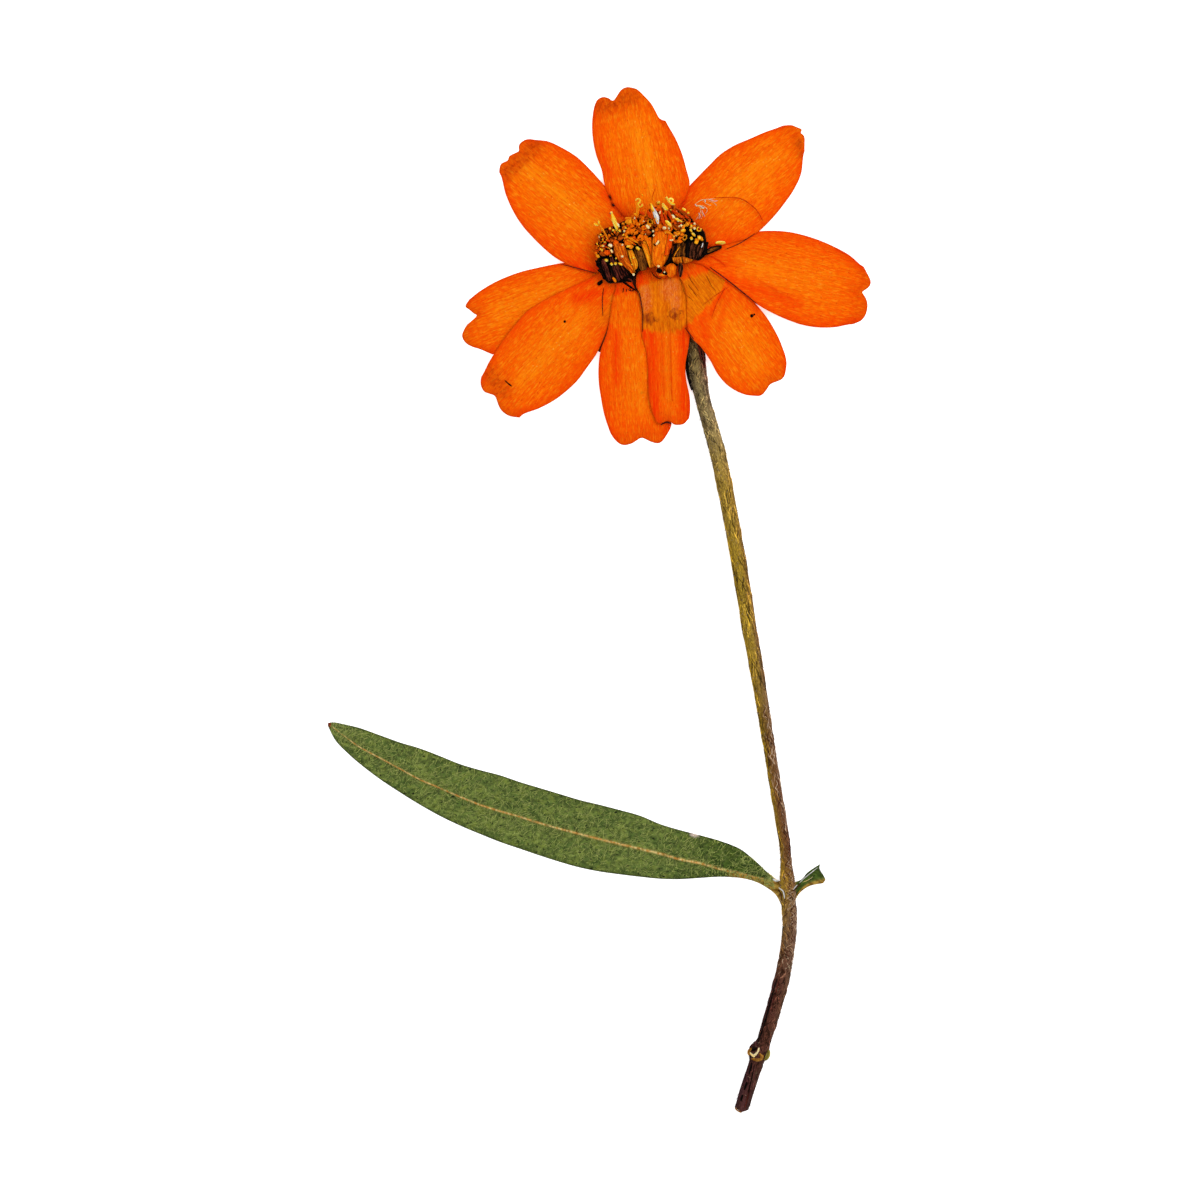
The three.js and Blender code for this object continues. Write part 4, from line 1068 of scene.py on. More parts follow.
def petal_orange(paint, grain, fibre, mottle, streaks):
    """The orange of most of a petal, with its light, deep and aged parts."""
    cloud = paint.noise((0.5, 0.22, 1.0), 2.0)
    flecks = paint.noise((6.5, 0.9, 2.0), 4.0, 0.5, 0.7)
    veins = paint.lines((1.5, 0.12, 7.0), 0.02)
    dots = paint.noise((2.6, 2.6, 5.0), 1.0, 0.69, 0.74)
    pale_dots = paint.noise((4.2, 3.4, 13.0), 1.0, 0.69, 0.76)
    aged_dots = paint.noise((2.6, 2.2, 17.0), 3.0, 0.54, 0.66)
    return paint.coats(
        paint.blend(grain, (248, 84, 0), (255, 124, 2)),
        (cloud, 0.3, (248, 84, 0)),
        (mottle, 0.55, (242, 76, 0)),
        (veins, 0.3, (232, 66, 0)),
        (paint.broken("light", 0.35, grain, 0.65), 1.0, (255, 142, 10)),
        (flecks, 0.65, (255, 156, 24)),
        (streaks, 0.22, (226, 70, 0)),
        (dots, 0.4, (190, 44, 0)),
        (paint.times(pale_dots, paint.attribute("light")), 1.0, (255, 196, 84)),
        (paint.broken("deep", 0.55, fibre, 0.45), 1.0, (242, 48, 0)),
        (paint.broken("aged", 0.45, mottle, 0.4), 1.0, (190, 68, 4)),
        (paint.times(aged_dots, paint.attribute("aged")), 0.7, (172, 42, 0)),
    )


def petal_gold(paint, grain, mottle, streaks):
    """The duller gold where the green cup shows through."""
    threads = paint.lines((2.6, 0.22, 1.0), 0.03)
    return paint.coats(
        paint.blend(grain, (216, 94, 2), (250, 138, 8)),
        (mottle, 0.3, (204, 92, 4)),
        (streaks, 0.42, (158, 58, 4)),
        (threads, 0.3, (170, 66, 4)),
    )


def petal_pink(paint, grain):
    """The tone of the pinkish bracts that show through, with small pale curls."""
    squiggles = paint.lines((2.8, 1.9, 9.0), 0.05)
    return paint.coats(
        paint.blend(grain, (206, 78, 14), (240, 122, 50)),
        (squiggles, 0.55, (252, 168, 110)),
    )


def brown_cover(paint, mottle, fine):
    """How far the brown bract tips show through: patchy, with a rough edge."""
    blots = paint.noise((1.7, 1.1, 1.0), 4.0, 0.38, 0.6)
    brown = paint.attribute("brown")
    rough_edge = paint.plus(brown, paint.times(paint.plus(mottle, -0.5), 0.6))
    shape = paint.times(paint.spread(rough_edge, 0.1, 0.9), paint.spread(brown, 0.02, 0.4))
    patchy = paint.plus(0.3, paint.plus(paint.times(blots, 0.4), paint.times(fine, 0.25)))
    return paint.times(shape, patchy)


def petal_paint():
    paint = Paint("petal", 0.75, 0.015)
    fibre = paint.noise((3.4, 0.22, 1.0), 3.0)
    fine = paint.noise((8.0, 1.3, 1.0), 3.0, 0.4, 0.6)
    mottle = paint.noise((2.1, 1.4, 1.0), 5.0, 0.42, 0.62)
    streaks = paint.noise((5.0, 0.4, 3.0), 2.0, 0.5, 0.72)
    grain = paint.plus(paint.times(fibre, 0.55), paint.times(fine, 0.45))
    colour = paint.coats(
        petal_orange(paint, grain, fibre, mottle, streaks),
        ("gold", 1.0, petal_gold(paint, grain, mottle, streaks)),
        (paint.broken("pink", 0.6, mottle, 0.4), 1.0, petal_pink(paint, grain)),
        (brown_cover(paint, mottle, fine), 1.0, (128, 38, 10)),
        # Rim: darker margin, partly painted shade where an edge lies over another petal. Crease: painted
        # shade along each fold.
        ("rim", 1.0, (208, 66, 2)),
        ("crease", 1.0, (214, 40, 0)),
        ("dark", 1.0, (58, 14, 6)),
    )
    return paint.finish(colour, grain, 0.06)


def stem_paint():
    paint = Paint("stem", 0.7, 0.04)
    fibre = paint.noise((2.8, 0.4, 1.0), 3.0)
    wrinkle = paint.noise((5.5, 2.4, 1.0), 3.0, 0.4, 0.62)
    strand = paint.lines((2.4, 0.8, 1.0), 0.035)
    crack = paint.lines((3.1, 1.1, 5.0), 0.03)
    base = paint.attribute("tone", "Color")
    colour = paint.coats(
        base,
        (fibre, 0.5, (54, 32, 8)),
        (wrinkle, 0.65, paint.valued(base, 1.5, 1.0)),
        (crack, 0.85, (34, 20, 6)),
        (strand, 0.4, paint.valued(base, 1.9, 0.9)),
    )
    relief = paint.plus(paint.times(fibre, 0.4), paint.times(wrinkle, 0.8))
    return paint.finish(colour, paint.plus(relief, paint.times(strand, 0.6)), 0.1)


def leaf_paint():
    paint = Paint("leaf", 0.75, 0.04)
    broad = paint.noise((0.3, 0.45, 1.0), 3.0, 0.4, 0.62)
    mottle = paint.noise((1.5, 2.0, 1.0), 5.0, 0.4, 0.6)
    yellow = paint.noise((0.9, 1.3, 4.0), 3.0, 0.5, 0.68)
    fibre_a = paint.lines((1.5, 2.6, 1.0), 0.03)
    fibre_b = paint.lines((2.6, 1.6, 6.0), 0.03)
    fibre_c = paint.lines((1.9, 2.2, 11.0), 0.025)
    speck = paint.noise((2.2, 3.0, 2.0), 2.0, 0.62, 0.68)
    bead = paint.noise((2.6, 1.0, 3.0), 2.0, 0.4, 0.62)
    colour = paint.coats(
        paint.blend(broad, (90, 111, 51), (122, 138, 65)),
        (mottle, 0.75, (54, 70, 30)),
        (yellow, 0.5, (132, 144, 58)),
        (fibre_c, 0.6, (50, 62, 24)),
        (fibre_a, 0.75, (152, 166, 88)),
        (fibre_b, 0.75, (144, 160, 84)),
        ("shaded", 1.0, paint.blend(mottle, (62, 88, 26), (40, 60, 16))),
        (speck, 0.95, (18, 24, 12)),
        ("vein", 0.55, (160, 166, 92)),
        ("rim", 1.0, (44, 50, 8)),
        ("rib", 1.0, paint.blend(bead, (208, 142, 66), (244, 212, 138))),
        ("petiole", 1.0, paint.blend(mottle, (184, 148, 66), (124, 90, 24))),
        ("brown", 1.0, (120, 44, 16)),
        ("pale", 1.0, (240, 214, 204)),
    )
    relief = paint.plus(paint.times(mottle, 0.6), paint.times(paint.plus(fibre_a, fibre_b), 0.4))
    return paint.finish(colour, relief, 0.09)


def bract_paint():
    paint = Paint("bract", 0.72, 0.15)
    fibre = paint.noise((4.0, 0.5, 1.0), 3.0)
    mottle = paint.noise((1.6, 1.6, 1.0), 3.0)
    colour = paint.coats(
        paint.blend(fibre, (122, 112, 52), (158, 142, 78)),
        (mottle, 0.5, (92, 84, 38)),
        ("brown", 1.0, (96, 44, 24)),
    )
    return paint.finish(colour, fibre, 0.06)


def hair_paint(name, root, tip, shaded):
    """Hairs with a root and a tip colour, many of them in a darker shade."""
    paint = Paint(name, 0.5, 0.3)
    shade = paint.noise((0.2, 0.2, 0.6), 1.0, 0.46, 0.58)
    colour = paint.blend(paint.attribute("reach"), root, tip)
    return paint.finish(paint.coats(colour, (shade, 0.85, shaded)))


def dry_paint():
    """Dry florets and chaff, streaked along their length between two colours given on the mesh."""
    paint = Paint("dry_floret", 0.7, 0.02)
    fibre = paint.noise((6.0, 0.8, 1.0), 3.0, 0.4, 0.6)
    mottle = paint.noise((2.6, 2.2, 1.0), 4.0, 0.42, 0.6)
    crack = paint.lines((3.0, 0.6, 4.0), 0.04)
    dark = paint.attribute("tint_dark", "Color")
    colour = paint.coats(
        paint.blend(fibre, dark, paint.attribute("tint_light", "Color")),
        (mottle, 0.45, dark),
        (crack, 0.7, paint.valued(dark, 0.4, 1.0)),
        # Tone: near black; on the florets this is painted shade at their feet and inside their hollow mouths.
        ("tone", 1.0, (14, 7, 4)),
    )
    return paint.finish(colour, fibre, 0.06)


# Meshes

def make_piece(name, points, faces, material, slot, replaced, place, values, colours=None):
    """Makes one piece of the flower. Places, values and colours are given for each point."""
    mesh = bpy.data.meshes.new(name)
    points = np.asarray(points, float) * MM
    mesh.from_pydata(points.tolist(), [], [list(face) for face in faces])
    mesh.shade_smooth()
    for kind, field, layers in (
        ("FLOAT", "value", values),
        ("FLOAT_VECTOR", "vector", {"place": place}),
        ("FLOAT_COLOR", "color", colours or {}),
    ):
        for key, data in layers.items():
            layer = mesh.attributes.new(key, kind, "POINT")
            layer.data.foreach_set(field, np.asarray(data, np.float32).ravel())
    mesh.materials.append(material)
    piece = bpy.data.objects.new(name, mesh)
    bpy.context.scene.collection.objects.link(piece)
    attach(piece, "root")
    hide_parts(replaced)
    return piece


def both(data, shape):
    """The same values for the upper and the lower face of a sheet, spread over its grid."""
    return np.tile(np.broadcast_to(data, shape).ravel(), 2)


def sheet_place(shape, pattern):
    """Where a sheet lies in the patterns of its paint: across, along, and a shift of its own."""
    return np.stack([both(part, shape) for part in pattern], -1)


def sheet_mesh(x, y, low, high):
    """A closed thin sheet from grids of columns by rows, columns running from left to right."""
    columns, rows = x.shape
    layer = columns * rows
    top = np.stack([x, y, high], -1).reshape(-1, 3)
    bottom = np.stack([x, y, low], -1).reshape(-1, 3)
    corner = (np.arange(columns - 1)[:, None] * rows + np.arange(rows - 1)[None, :]).ravel()
    top_faces = np.stack([corner, corner + rows, corner + rows + 1, corner + 1], -1)
    bottom_faces = top_faces[:, ::-1] + layer
    left = np.arange(rows)
    far = np.arange(columns) * rows + rows - 1
    right = left[::-1] + (columns - 1) * rows
    near = (np.arange(columns) * rows)[::-1]
    rim = np.concatenate([left[:-1], far[:-1], right[:-1], near])
    ring_next = np.roll(rim, -1)
    sides = np.stack([rim, ring_next, ring_next + layer, rim + layer], -1)[:-1]
    faces = np.concatenate([top_faces, bottom_faces, sides])
    return np.concatenate([top, bottom]), faces.tolist()


def sheet_piece(name, x, y, low, high, pattern, values, material, slot, replaced):
    values = {kind: both(data, x.shape) for kind, data in values.items()}
    place = sheet_place(x.shape, pattern)
    make_piece(name, *sheet_mesh(x, y, low, high), material, slot, replaced, place, values)


class HeightMap:
    """How high the layers already laid reach, on a grid of small cells."""

    def __init__(self, low_corner, high_corner):
        self.low = low_corner
        size = [int((high - low) / CELL) + 2 for low, high in zip(low_corner, high_corner)]
        self.top = np.zeros(size)

    def cells(self, x, y):
        i = np.clip(((x - self.low[0]) / CELL).astype(int), 0, self.top.shape[0] - 1)
        j = np.clip(((y - self.low[1]) / CELL).astype(int), 0, self.top.shape[1] - 1)
        return i, j

    def lay(self, x, y, height):
        np.maximum.at(self.top, self.cells(x, y), height)

    def level(self, x, y):
        """The height reached at a place or close around it."""
        i, j = self.cells(np.asarray(x, float), np.asarray(y, float))
        columns = [np.clip(i + step, 0, self.top.shape[0] - 1) for step in (-1, 0, 1)]
        rows = [np.clip(j + step, 0, self.top.shape[1] - 1) for step in (-1, 0, 1)]
        return np.maximum.reduce([self.top[column, row] for column in columns for row in rows])

    def rest(self, x, y, low):
        """Lifts an underside clear of what lies below it, easing in and out of each step."""
        floor = self.level(x, y)
        need = np.where(floor > 0, np.maximum(floor + LAYER_GAP - low, 0), 0)
        lift = need.copy()
        for _ in range(REST_ROUNDS):
            padded = np.pad(lift, 1, mode="edge")
            spread = (padded[:-2, 1:-1] + padded[2:, 1:-1] + padded[1:-1, :-2] + padded[1:-1, 2:]) / 4
            lift = np.maximum(need, spread)
        return low + lift


def tube_faces(sides, rings, first=0):
    """Faces of a closed tube, its points given ring by ring from a first one on."""
    faces = []
    for step in range(rings - 1):
        for k in range(sides):
            a = first + step * sides + k
            b = first + step * sides + (k + 1) % sides
            faces.append((a, b, b + sides, a + sides))
    last = first + (rings - 1) * sides
    faces.append(tuple(range(first + sides - 1, first - 1, -1)))
    faces.append(tuple(range(last, last + sides)))
    return faces


def rods_mesh(rods, sides=3, roughness=0.0, rng=None):
    """Joins many tapered rods, each a list of (x, y, z, radius). Roughness makes them lumpy."""
    points = []
    faces = []
    reach = []
    place = []
    angles = [2 * math.pi * k / sides for k in range(sides)]
    for number, rod in enumerate(rods):
        faces += tube_faces(sides, len(rod), len(points))
        spine = np.array(rod, float)
        way = travelled(spine[:, :3])
        for step, (x, y, z, radius) in enumerate(rod):
            ahead = spine[min(step + 1, len(rod) - 1), :3] - spine[max(step - 1, 0), :3]
            ahead /= np.linalg.norm(ahead) + TINY
            side = np.cross(ahead, (0.0, 0.0, 1.0) if abs(ahead[2]) < 0.9 else (1.0, 0.0, 0.0))
            side /= np.linalg.norm(side)
            up = np.cross(side, ahead)
            for angle in angles:
                around = side * math.cos(angle) + up * math.sin(angle)
                if roughness:
                    around *= 1 + roughness * rng.uniform(-1, 1)
                points.append(np.array((x, y, z)) + around * radius)
                reach.append(step / (len(rod) - 1))
                place.append((radius * math.cos(angle), way[step], number * ROD_SHIFT))
    return points, faces, reach, place


# Petals

def petal_grid(petal):
    """Side (-1 to 1), across and along of every point of a petal, as columns by rows."""
    across, reach = np.array(petal["lobes"], float).T
    left = curve_at(petal["left"], STATION_STEP, reach)
    right = curve_at(petal["right"], STATION_STEP, reach)
    side = across / np.where(across < 0, left, right)
    side[0] = -1.0
    side[-1] = 1.0
    for k in range(1, len(side) - 1):
        side[k] = max(side[k], side[k - 1] + LEAST_LOBE)
    for k in range(len(side) - 2, 0, -1):
        side[k] = min(side[k], side[k + 1] - LEAST_LOBE)
    side = np.clip(np.maximum.accumulate(smooth_path(side, TIP_STEPS)), -1, 1)[:, None]
    reach = smooth_path(reach, TIP_STEPS)[:, None]
    along = mix(-petal["claw"], reach, np.linspace(0, 1, PETAL_ROWS)[None, :])
    half = np.where(
        side < 0,
        curve_at(petal["left"], STATION_STEP, along),
        curve_at(petal["right"], STATION_STEP, along),
    )
    into_claw = np.clip(-along / petal["claw"], 0, 0.995)
    half = half * np.sqrt(1 - into_claw ** 4)
    return np.broadcast_to(side, along.shape), side * half, along, half, reach


def add_mark(marks, kind, strength):
    marks[kind] = np.maximum(marks[kind], strength)


def show_cup(petal, marks, x, y, side):
    """Marks where the cup below shows through a petal, with its brown and its pinkish parts."""
    soft_foot, soft_top, soft_ends = PATCH_SOFTNESS
    low_x, low_y = np.array(cup_shows_above).T
    high_x, high_y = np.array(cup_shows_below).T
    frayed = 0.14 * np.sin(5.1 * x) + 0.1 * np.sin(8.7 * x + 2)
    inside = ease((y + frayed - np.interp(x, low_x, low_y)) / soft_foot)
    inside *= ease((np.interp(x, high_x, high_y) + frayed - y) / soft_top)
    inside *= ramp(x, low_x[0], soft_ends) * ease((low_x[-1] - x) / soft_ends)
    add_mark(marks, "gold", shows_through[petal["name"]] * inside)
    marks["deep"] *= 1 - PATCH_CLEARS_RED * inside
    if petal["name"] == "bottom_front":
        marks["rim"] *= 1 - PATCH_CLEARS_RIM * inside * (side > 0)
        for kind, centre, radii, strength in cup_spots:
            add_mark(marks, kind, strength * inside * spot(x, y, centre, radii))


def petal_marks(petal, x, y, side, across, along, edge, reach):
    """How strong each colour is at every point of a petal."""
    name = petal["name"]
    part = along / reach
    marks = {kind: np.zeros(x.shape) for kind in PETAL_MARKS}
    marks["deep"] += petal_redness.get(name, 0.0) + EDGE_REDNESS * ramp(np.abs(side), 0.6, 0.4)
    marks["deep"] += petal_base_redness.get(name, BASE_REDNESS) * (1 - ramp(along, 1.0, 6.0))
    marks["deep"] += TIP_REDNESS * ramp(part, 0.82, 0.18)
    marks["light"] += MIDDLE_LIGHT * bell(side, 0.4) * ramp(along, 3, 3) * (1 - ramp(part, 0.7, 0.25))
    marks["aged"] += TIP_AGE * ramp(part, 0.88, 0.12)
    # The rim is the darker margin and partly painted shade where this edge lies over another petal.
    marks["rim"] += RIM_STRENGTH * bell(edge, RIM_WIDTH)
    for kind, strength, width, path in petal["marks"]:
        add_mark(marks, kind, strength * stroke(across, along, path, width))
    if name in shows_through:
        show_cup(petal, marks, x, y, side)
    return {kind: np.clip(data, 0, 1) for kind, data in marks.items()}


def petal_relief(petal, number, side, across, along, length):
    """Height of the petal's ribs, waves, folds and curled edges over its plain form."""
    rng = random.Random(PETAL_SEED + number)
    ribs = VEIN_HEIGHT * np.cos(math.pi * VEINS * side + 0.5 * np.sin(along * 0.35 + number))
    waves = WAVE_HEIGHT * ripples(rng, across, along) * ramp(along, 2, 6)
    curl = 0.6 + 0.4 * np.sin(along * 0.8 + rng.uniform(0, 6))
    relief = ribs + waves + CURL_HEIGHT * side ** 6 * curl * ramp(along, 4, 5)
    for kind, strength, width, path in petal["marks"]:
        if kind == "crease":
            relief += CREASE_HEIGHT * strength * stroke(across, along, path, CREASE_SPREAD * width)
    if petal["name"] == "bottom_front":
        relief += FOLD_HEIGHT * np.cos((across + 0.3) * 2 * math.pi / FOLD_PITCH) * ramp(along, 5, 4)
        relief += TIP_RISE * ramp(along / length, 0.93, 0.07)
    return relief


def lay_petal(number, petal, layers, material):
    side, across, along, half, reach = petal_grid(petal)
    x, y = on_floor(petal["root"], petal["tip"], across, along)
    length = distance(petal["root"], petal["tip"])
    fall = ease(along / length)
    to_right = (side + 1) / 2
    low = mix(mix(*petal["root_lift"], to_right), mix(*petal["tip_lift"], to_right), fall)
    low = low + PETAL_CROWN * (1 - side ** 2) * np.sin(math.pi * fall)
    low = low - CLAW_DROP * ease(-along / petal["claw"])
    low = np.maximum(low + petal_relief(petal, number, side, across, along, length), PETAL_LOWEST)
    low = layers.rest(x, y, low)
    edge = np.minimum((1 - np.abs(side)) * half, reach - along)
    high = low + mix(PETAL_EDGE, PETAL_BODY, ease(edge / PETAL_EDGE_WIDTH))
    layers.lay(x, y, high)
    marks = petal_marks(petal, x, y, side, across, along, edge, reach)
    sheet_piece(
        "petal_" + petal["name"], x, y, low, high, (across, along, number * PETAL_SHIFT), marks,
        material, "petal", "ray_petals",
    )


# Cup of bracts under the petals

def cup_height(x, y):
    r = np.hypot((x - CUP_CENTRE[0]) / CUP_RADII[0], (y - CUP_CENTRE[1]) / CUP_RADII[1])
    return CUP_HEIGHT * np.sqrt(np.maximum(0, 1 - r * r))


def bract_piece(name, bract, number, layers, material):
    """A round-tipped tongue with a keel, a thin edge and a brown tip, lying on the cup."""
    root, tip, half_width = bract
    side = np.linspace(-1, 1, BRACT_COLUMNS)[:, None]
    t = np.linspace(0, 1, BRACT_ROWS)[None, :]
    along = distance(root, tip) * t * (1 - 0.3 * side ** 2 * t)
    across = side * half_width * mix(BRACT_FOOT_WIDTH, 1, np.sin(math.pi * 0.7 * t))
    x, y = on_floor(root, tip, across, along)
    low = np.maximum(CUP_FOOT, cup_height(x, y) - 0.05) + BRACT_ARCH * (1 - side ** 2)
    low = low + BRACT_RIB_HEIGHT * np.cos(math.pi * BRACT_RIBS * side)
    low = layers.rest(x, y, low)
    high = low + mix(BRACT_EDGE, BRACT_BODY, ease((1 - np.abs(side)) / BRACT_EDGE_SHARE))
    layers.lay(x, y, high)
    brown = np.maximum(ramp(t, 0.72, 0.16), 0.5 * ramp(np.abs(side), 0.8, 0.2))
    sheet_piece(
        name, x, y, low, high, (across, along, number * BRACT_SHIFT), {"brown": brown},
        material, "bract", "involucre",
    )


def cup_base(material):
    """The low dome that carries the bracts, with its flat pressed underside."""
    r = np.linspace(0.02, 1, CUP_RINGS)[None, :]
    angle = np.linspace(0, 2 * math.pi, CUP_SIDES)[:, None]
    x = CUP_CENTRE[0] + CUP_RADII[0] * CUP_BASE_PART * r * np.cos(angle)
    y = CUP_CENTRE[1] + CUP_RADII[1] * CUP_BASE_PART * r * np.sin(angle)
    high = np.maximum(cup_height(x, y) - BRACT_SINK, 0.06)
    low = CUP_FOOT + 0.015 * np.cos(12 * angle) * r
    sheet_piece("cup_base", x[::-1], y[::-1], low, high, (x, y, 0.0), {}, material, "bract", "involucre")


# Stem

def stem_path():
    """Stations down the stem, the direction across it at each, and its height there."""
    stations = smooth_path(stem_stations, STEM_STEPS)
    ahead = headings(stations[:, :2])
    across = np.stack([-ahead[:, 1], ahead[:, 0]], -1)
    flattening = ramp(stations[:, 1], FLATTENING_STARTS, FLATTENING_RUN)
    return stations, across, stations[:, 2] * mix(STEM_FLATNESS, HEAD_END_FLATNESS, flattening)


def stem_tone(y, side):
    """Colour of the stem at a place along it, side -1 at its left and 1 at its right, with painted shadow on
    its left side near the head.
    """
    rows = sorted(stem_colours)
    heights = [row[0] for row in rows]
    left, middle, right = (
        np.stack([np.interp(y, heights, [linear(row[k])[c] for row in rows]) for c in range(3)], -1)
        for k in (1, 2, 3)
    )
    return middle + (left - middle) * ease(-side)[..., None] + (right - middle) * ease(side)[..., None]


def stalk_grid(rng, stations, across, height):
    """The skin of the stalk as rings of points, with the way down it and the angle round it."""
    angle = np.linspace(0, 2 * math.pi, STEM_SIDES, endpoint=False)[None, :]
    down = travelled(stations[:, :2])[:, None]
    ribs = RIB_DEPTH * np.cos(RIBS * angle + 0.5 * np.sin(down * 0.12))
    ribs = ribs + FINE_RIB_DEPTH * np.cos(FINE_RIBS * angle + down * 0.05)
    dents = DENT_DEPTH * ripples(rng, 3 * np.cos(angle) + 0 * down, down + 0 * angle, 8, 2.2)
    scale = 1 + ribs + dents - STEM_SLIMMING
    side = np.cos(angle) * stations[:, 2:3] / 2 * scale
    z = np.maximum(0.0, height[:, None] * (STEM_MIDDLE_SHARE + STEM_ROUND_SHARE * np.sin(angle) * scale))
    x = stations[:, 0:1] + across[:, 0:1] * side
    trim = ease((down - down[-1] + CUT_LENGTH) / CUT_LENGTH)
    y = stations[:, 1:2] + across[:, 1:2] * side + CUT_SLANT * trim * np.abs(np.cos(angle))
    return x, y, z, down, angle


def build_strands(rng, stations, grids, tone, material):
    """Fibres that run down the stalk, each in a shade of its own, with pale and dark curled ones."""
    strands = []
    tones = []
    for _ in range(STRANDS):
        r = rng.randrange(10, len(stations) - 16)
        k = rng.uniform(0.5, STEM_SIDES / 2 - 0.5)
        drift = rng.uniform(-STRAND_DRIFT, STRAND_DRIFT)
        curled = CURLS_TO < stations[r, 1] < CURLS_FROM and k < STEM_SIDES * CURLS_SHARE
        swing = CURLED_SWING if curled else STRAND_SWING
        strand = []
        for s in range(STRAND_POINTS):
            column = min(max(k + drift * s + swing * math.sin(2.1 * s + k), 0), STEM_SIDES / 2)
            low = int(column)
            point = [mix(grid[r + s, low], grid[r + s, low + 1], column - low) for grid in grids]
            strand.append((*point, STRAND_RADIUS * math.sin(math.pi * (s + 0.6) / 5.2)))
        strands.append(strand)
        if curled:
            shade = linear(rng.choice(CURL_TONES))
        else:
            shade = tone[r, int(k), :3] * rng.choice(STRAND_SHADES)
        tones.append((*shade, 1.0))
    points, faces, _, place = rods_mesh(strands, STRAND_SIDES)
    tones = {"tone": np.repeat(tones, STRAND_POINTS * STRAND_SIDES, axis=0)}
    make_piece("stem_strands", points, faces, material, "stem", "stem", place, {}, tones)


def build_stem_hairs(rng, stations, across, grids, material):
    hairs = []
    for _ in range(STEM_HAIRS):
        r = rng.randrange(4, len(stations) - 2)
        turn = rng.uniform(0.02, 0.98) * math.pi
        if stations[r, 1] < CURLS_TO and rng.random() < BARE_SHARE:
            continue
        root = np.array([grid[r, int(turn / (2 * math.pi) * STEM_SIDES)] for grid in grids])
        out = np.array((across[r, 0] * math.cos(turn), across[r, 1] * math.cos(turn), 0.6 * math.sin(turn)))
        lean = np.array((rng.uniform(-0.5, 0.5), rng.uniform(-1, 1), 0.0))
        length = rng.uniform(*STEM_HAIR_LENGTHS)
        way = out * 0.5 + lean
        way /= np.linalg.norm(way)
        drop = np.array((0, 0, -HAIR_DROP * length))
        hairs.append([
            (*(root + way * length * s + drop * s * s), mix(*STEM_HAIR_RADII, s)) for s in (0.0, 0.5, 1.0)
        ])
    points, faces, reach, place = rods_mesh(hairs)
    make_piece("stem_hairs", points, faces, material, "stem", "stem", place, {"reach": reach})


def build_stem(material, hair_material, layers):
    rng = random.Random(STEM_SEED)
    stations, across, height = stem_path()
    x, y, z, down, angle = stalk_grid(rng, stations, across, height)
    points = np.stack([x, y, z], -1).reshape(-1, 3)
    tone = stem_tone(np.broadcast_to(stations[:, 1:2], x.shape), np.broadcast_to(np.cos(angle), x.shape))
    tone = np.concatenate([tone, np.ones((*x.shape, 1))], -1)
    place = np.stack([np.broadcast_to(part, x.shape) for part in (angle, down, np.sin(angle))], -1)
    faces = tube_faces(STEM_SIDES, len(stations))
    make_piece("stem_stalk", points, faces, material, "stem", "stem", place, {}, {"tone": tone})
    layers.lay(x, y, z)
    build_strands(rng, stations, (x, y, z), tone, material)
    build_stem_hairs(rng, stations, across, (x, y, z), hair_material)


# Leaf and torn stub

def leaf_sections():
    stations = [
        (LEAF_FIRST_X + number * LEAF_STEP, *edges)
        for number, edges in enumerate(zip(leaf_upper, leaf_midrib, leaf_lower))
    ]
    return smooth_path((*leaf_tip, *stations, *petiole), LEAF_STEPS)


def leaf_surface():
    """Grids of the blade: x, y, underside, upper side, and the distances in from the edge and to the rib.

    Outward is 0 at the rib and 1 at the edge. The distance to the rib is negative below it.
    """
    sections = leaf_sections()[::-1]
    f = np.linspace(0, 2, LEAF_COLUMNS)[:, None]
    x, upper, midrib, lower = (sections[:, k][None, :] for k in range(4))
    y = np.where(f < 1, mix(lower, midrib, f), mix(midrib, upper, f - 1))
    x = x + 0 * f
    from_rib = y - midrib
    outward = np.abs(f - 1) + 0 * x
    rib = bell(from_rib, mix(*RIB_WIDTHS, ramp(x, *RIB_WIDENS)))
    waves = LEAF_WAVES * ripples(random.Random(LEAF_WAVE_SEED), y, x, 8, 1.0) * ease(outward / 0.3)
    low = LEAF_FOOT + np.maximum(0, LEAF_SWELL * np.sin(math.pi * outward) + waves)
    edge = (1 - outward) * np.where(f < 1, midrib - lower, upper - midrib)
    edge = np.minimum(edge, (x - x.min()) * 0.8)
    high = low + mix(LEAF_EDGE, LEAF_BODY, ease(edge / 0.5)) + RIB_HEIGHT * rib
    return x, y, low, high, edge, outward, from_rib


def side_veins(x, outward):
    """1 on the veins that run from the rib forward to the edge, fading outwards."""
    veins = np.zeros(x.shape)
    for number in range(SIDE_VEINS):
        start = LEAF_FIRST_X + VEIN_PITCH * number
        for first in (start, start - VEIN_OFFSET):
            veins = np.maximum(veins, bell(x - (first - VEIN_LEAN * outward), VEIN_WIDTH) * (1 - outward))
    return veins


def build_leaf_hairs(x, y, high, edge, material):
    rng = random.Random(LEAF_HAIR_SEED)
    hairs = []
    for _ in range(LEAF_HAIRS):
        j = rng.randrange(2, x.shape[0] - 2)
        i = rng.randrange(10, x.shape[1] - 4)
        turn = rng.gauss(*LEAF_HAIR_TURNS[0 if rng.random() < UPWARD_SHARE else 1])
        length = rng.uniform(*LEAF_HAIR_LENGTHS) * min(1.0, 0.2 + edge[j, i] / 1.8)
        bend = rng.uniform(-LEAF_HAIR_BEND, LEAF_HAIR_BEND)
        hair = []
        for s in (0.0, 0.35, 0.7, 1.0):
            heading = turn + bend * s
            hair.append((
                x[j, i] + length * s * math.cos(heading),
                y[j, i] + length * s * math.sin(heading),
                high[j, i] + (0.02 + 0.1 * s * (1 - s)),
                mix(*LEAF_HAIR_RADII, s),
            ))
        hairs.append(hair)
    points, faces, reach, place = rods_mesh(hairs)
    make_piece("leaf_hairs", points, faces, material, "leaf", "leaf", place, {"reach": reach})


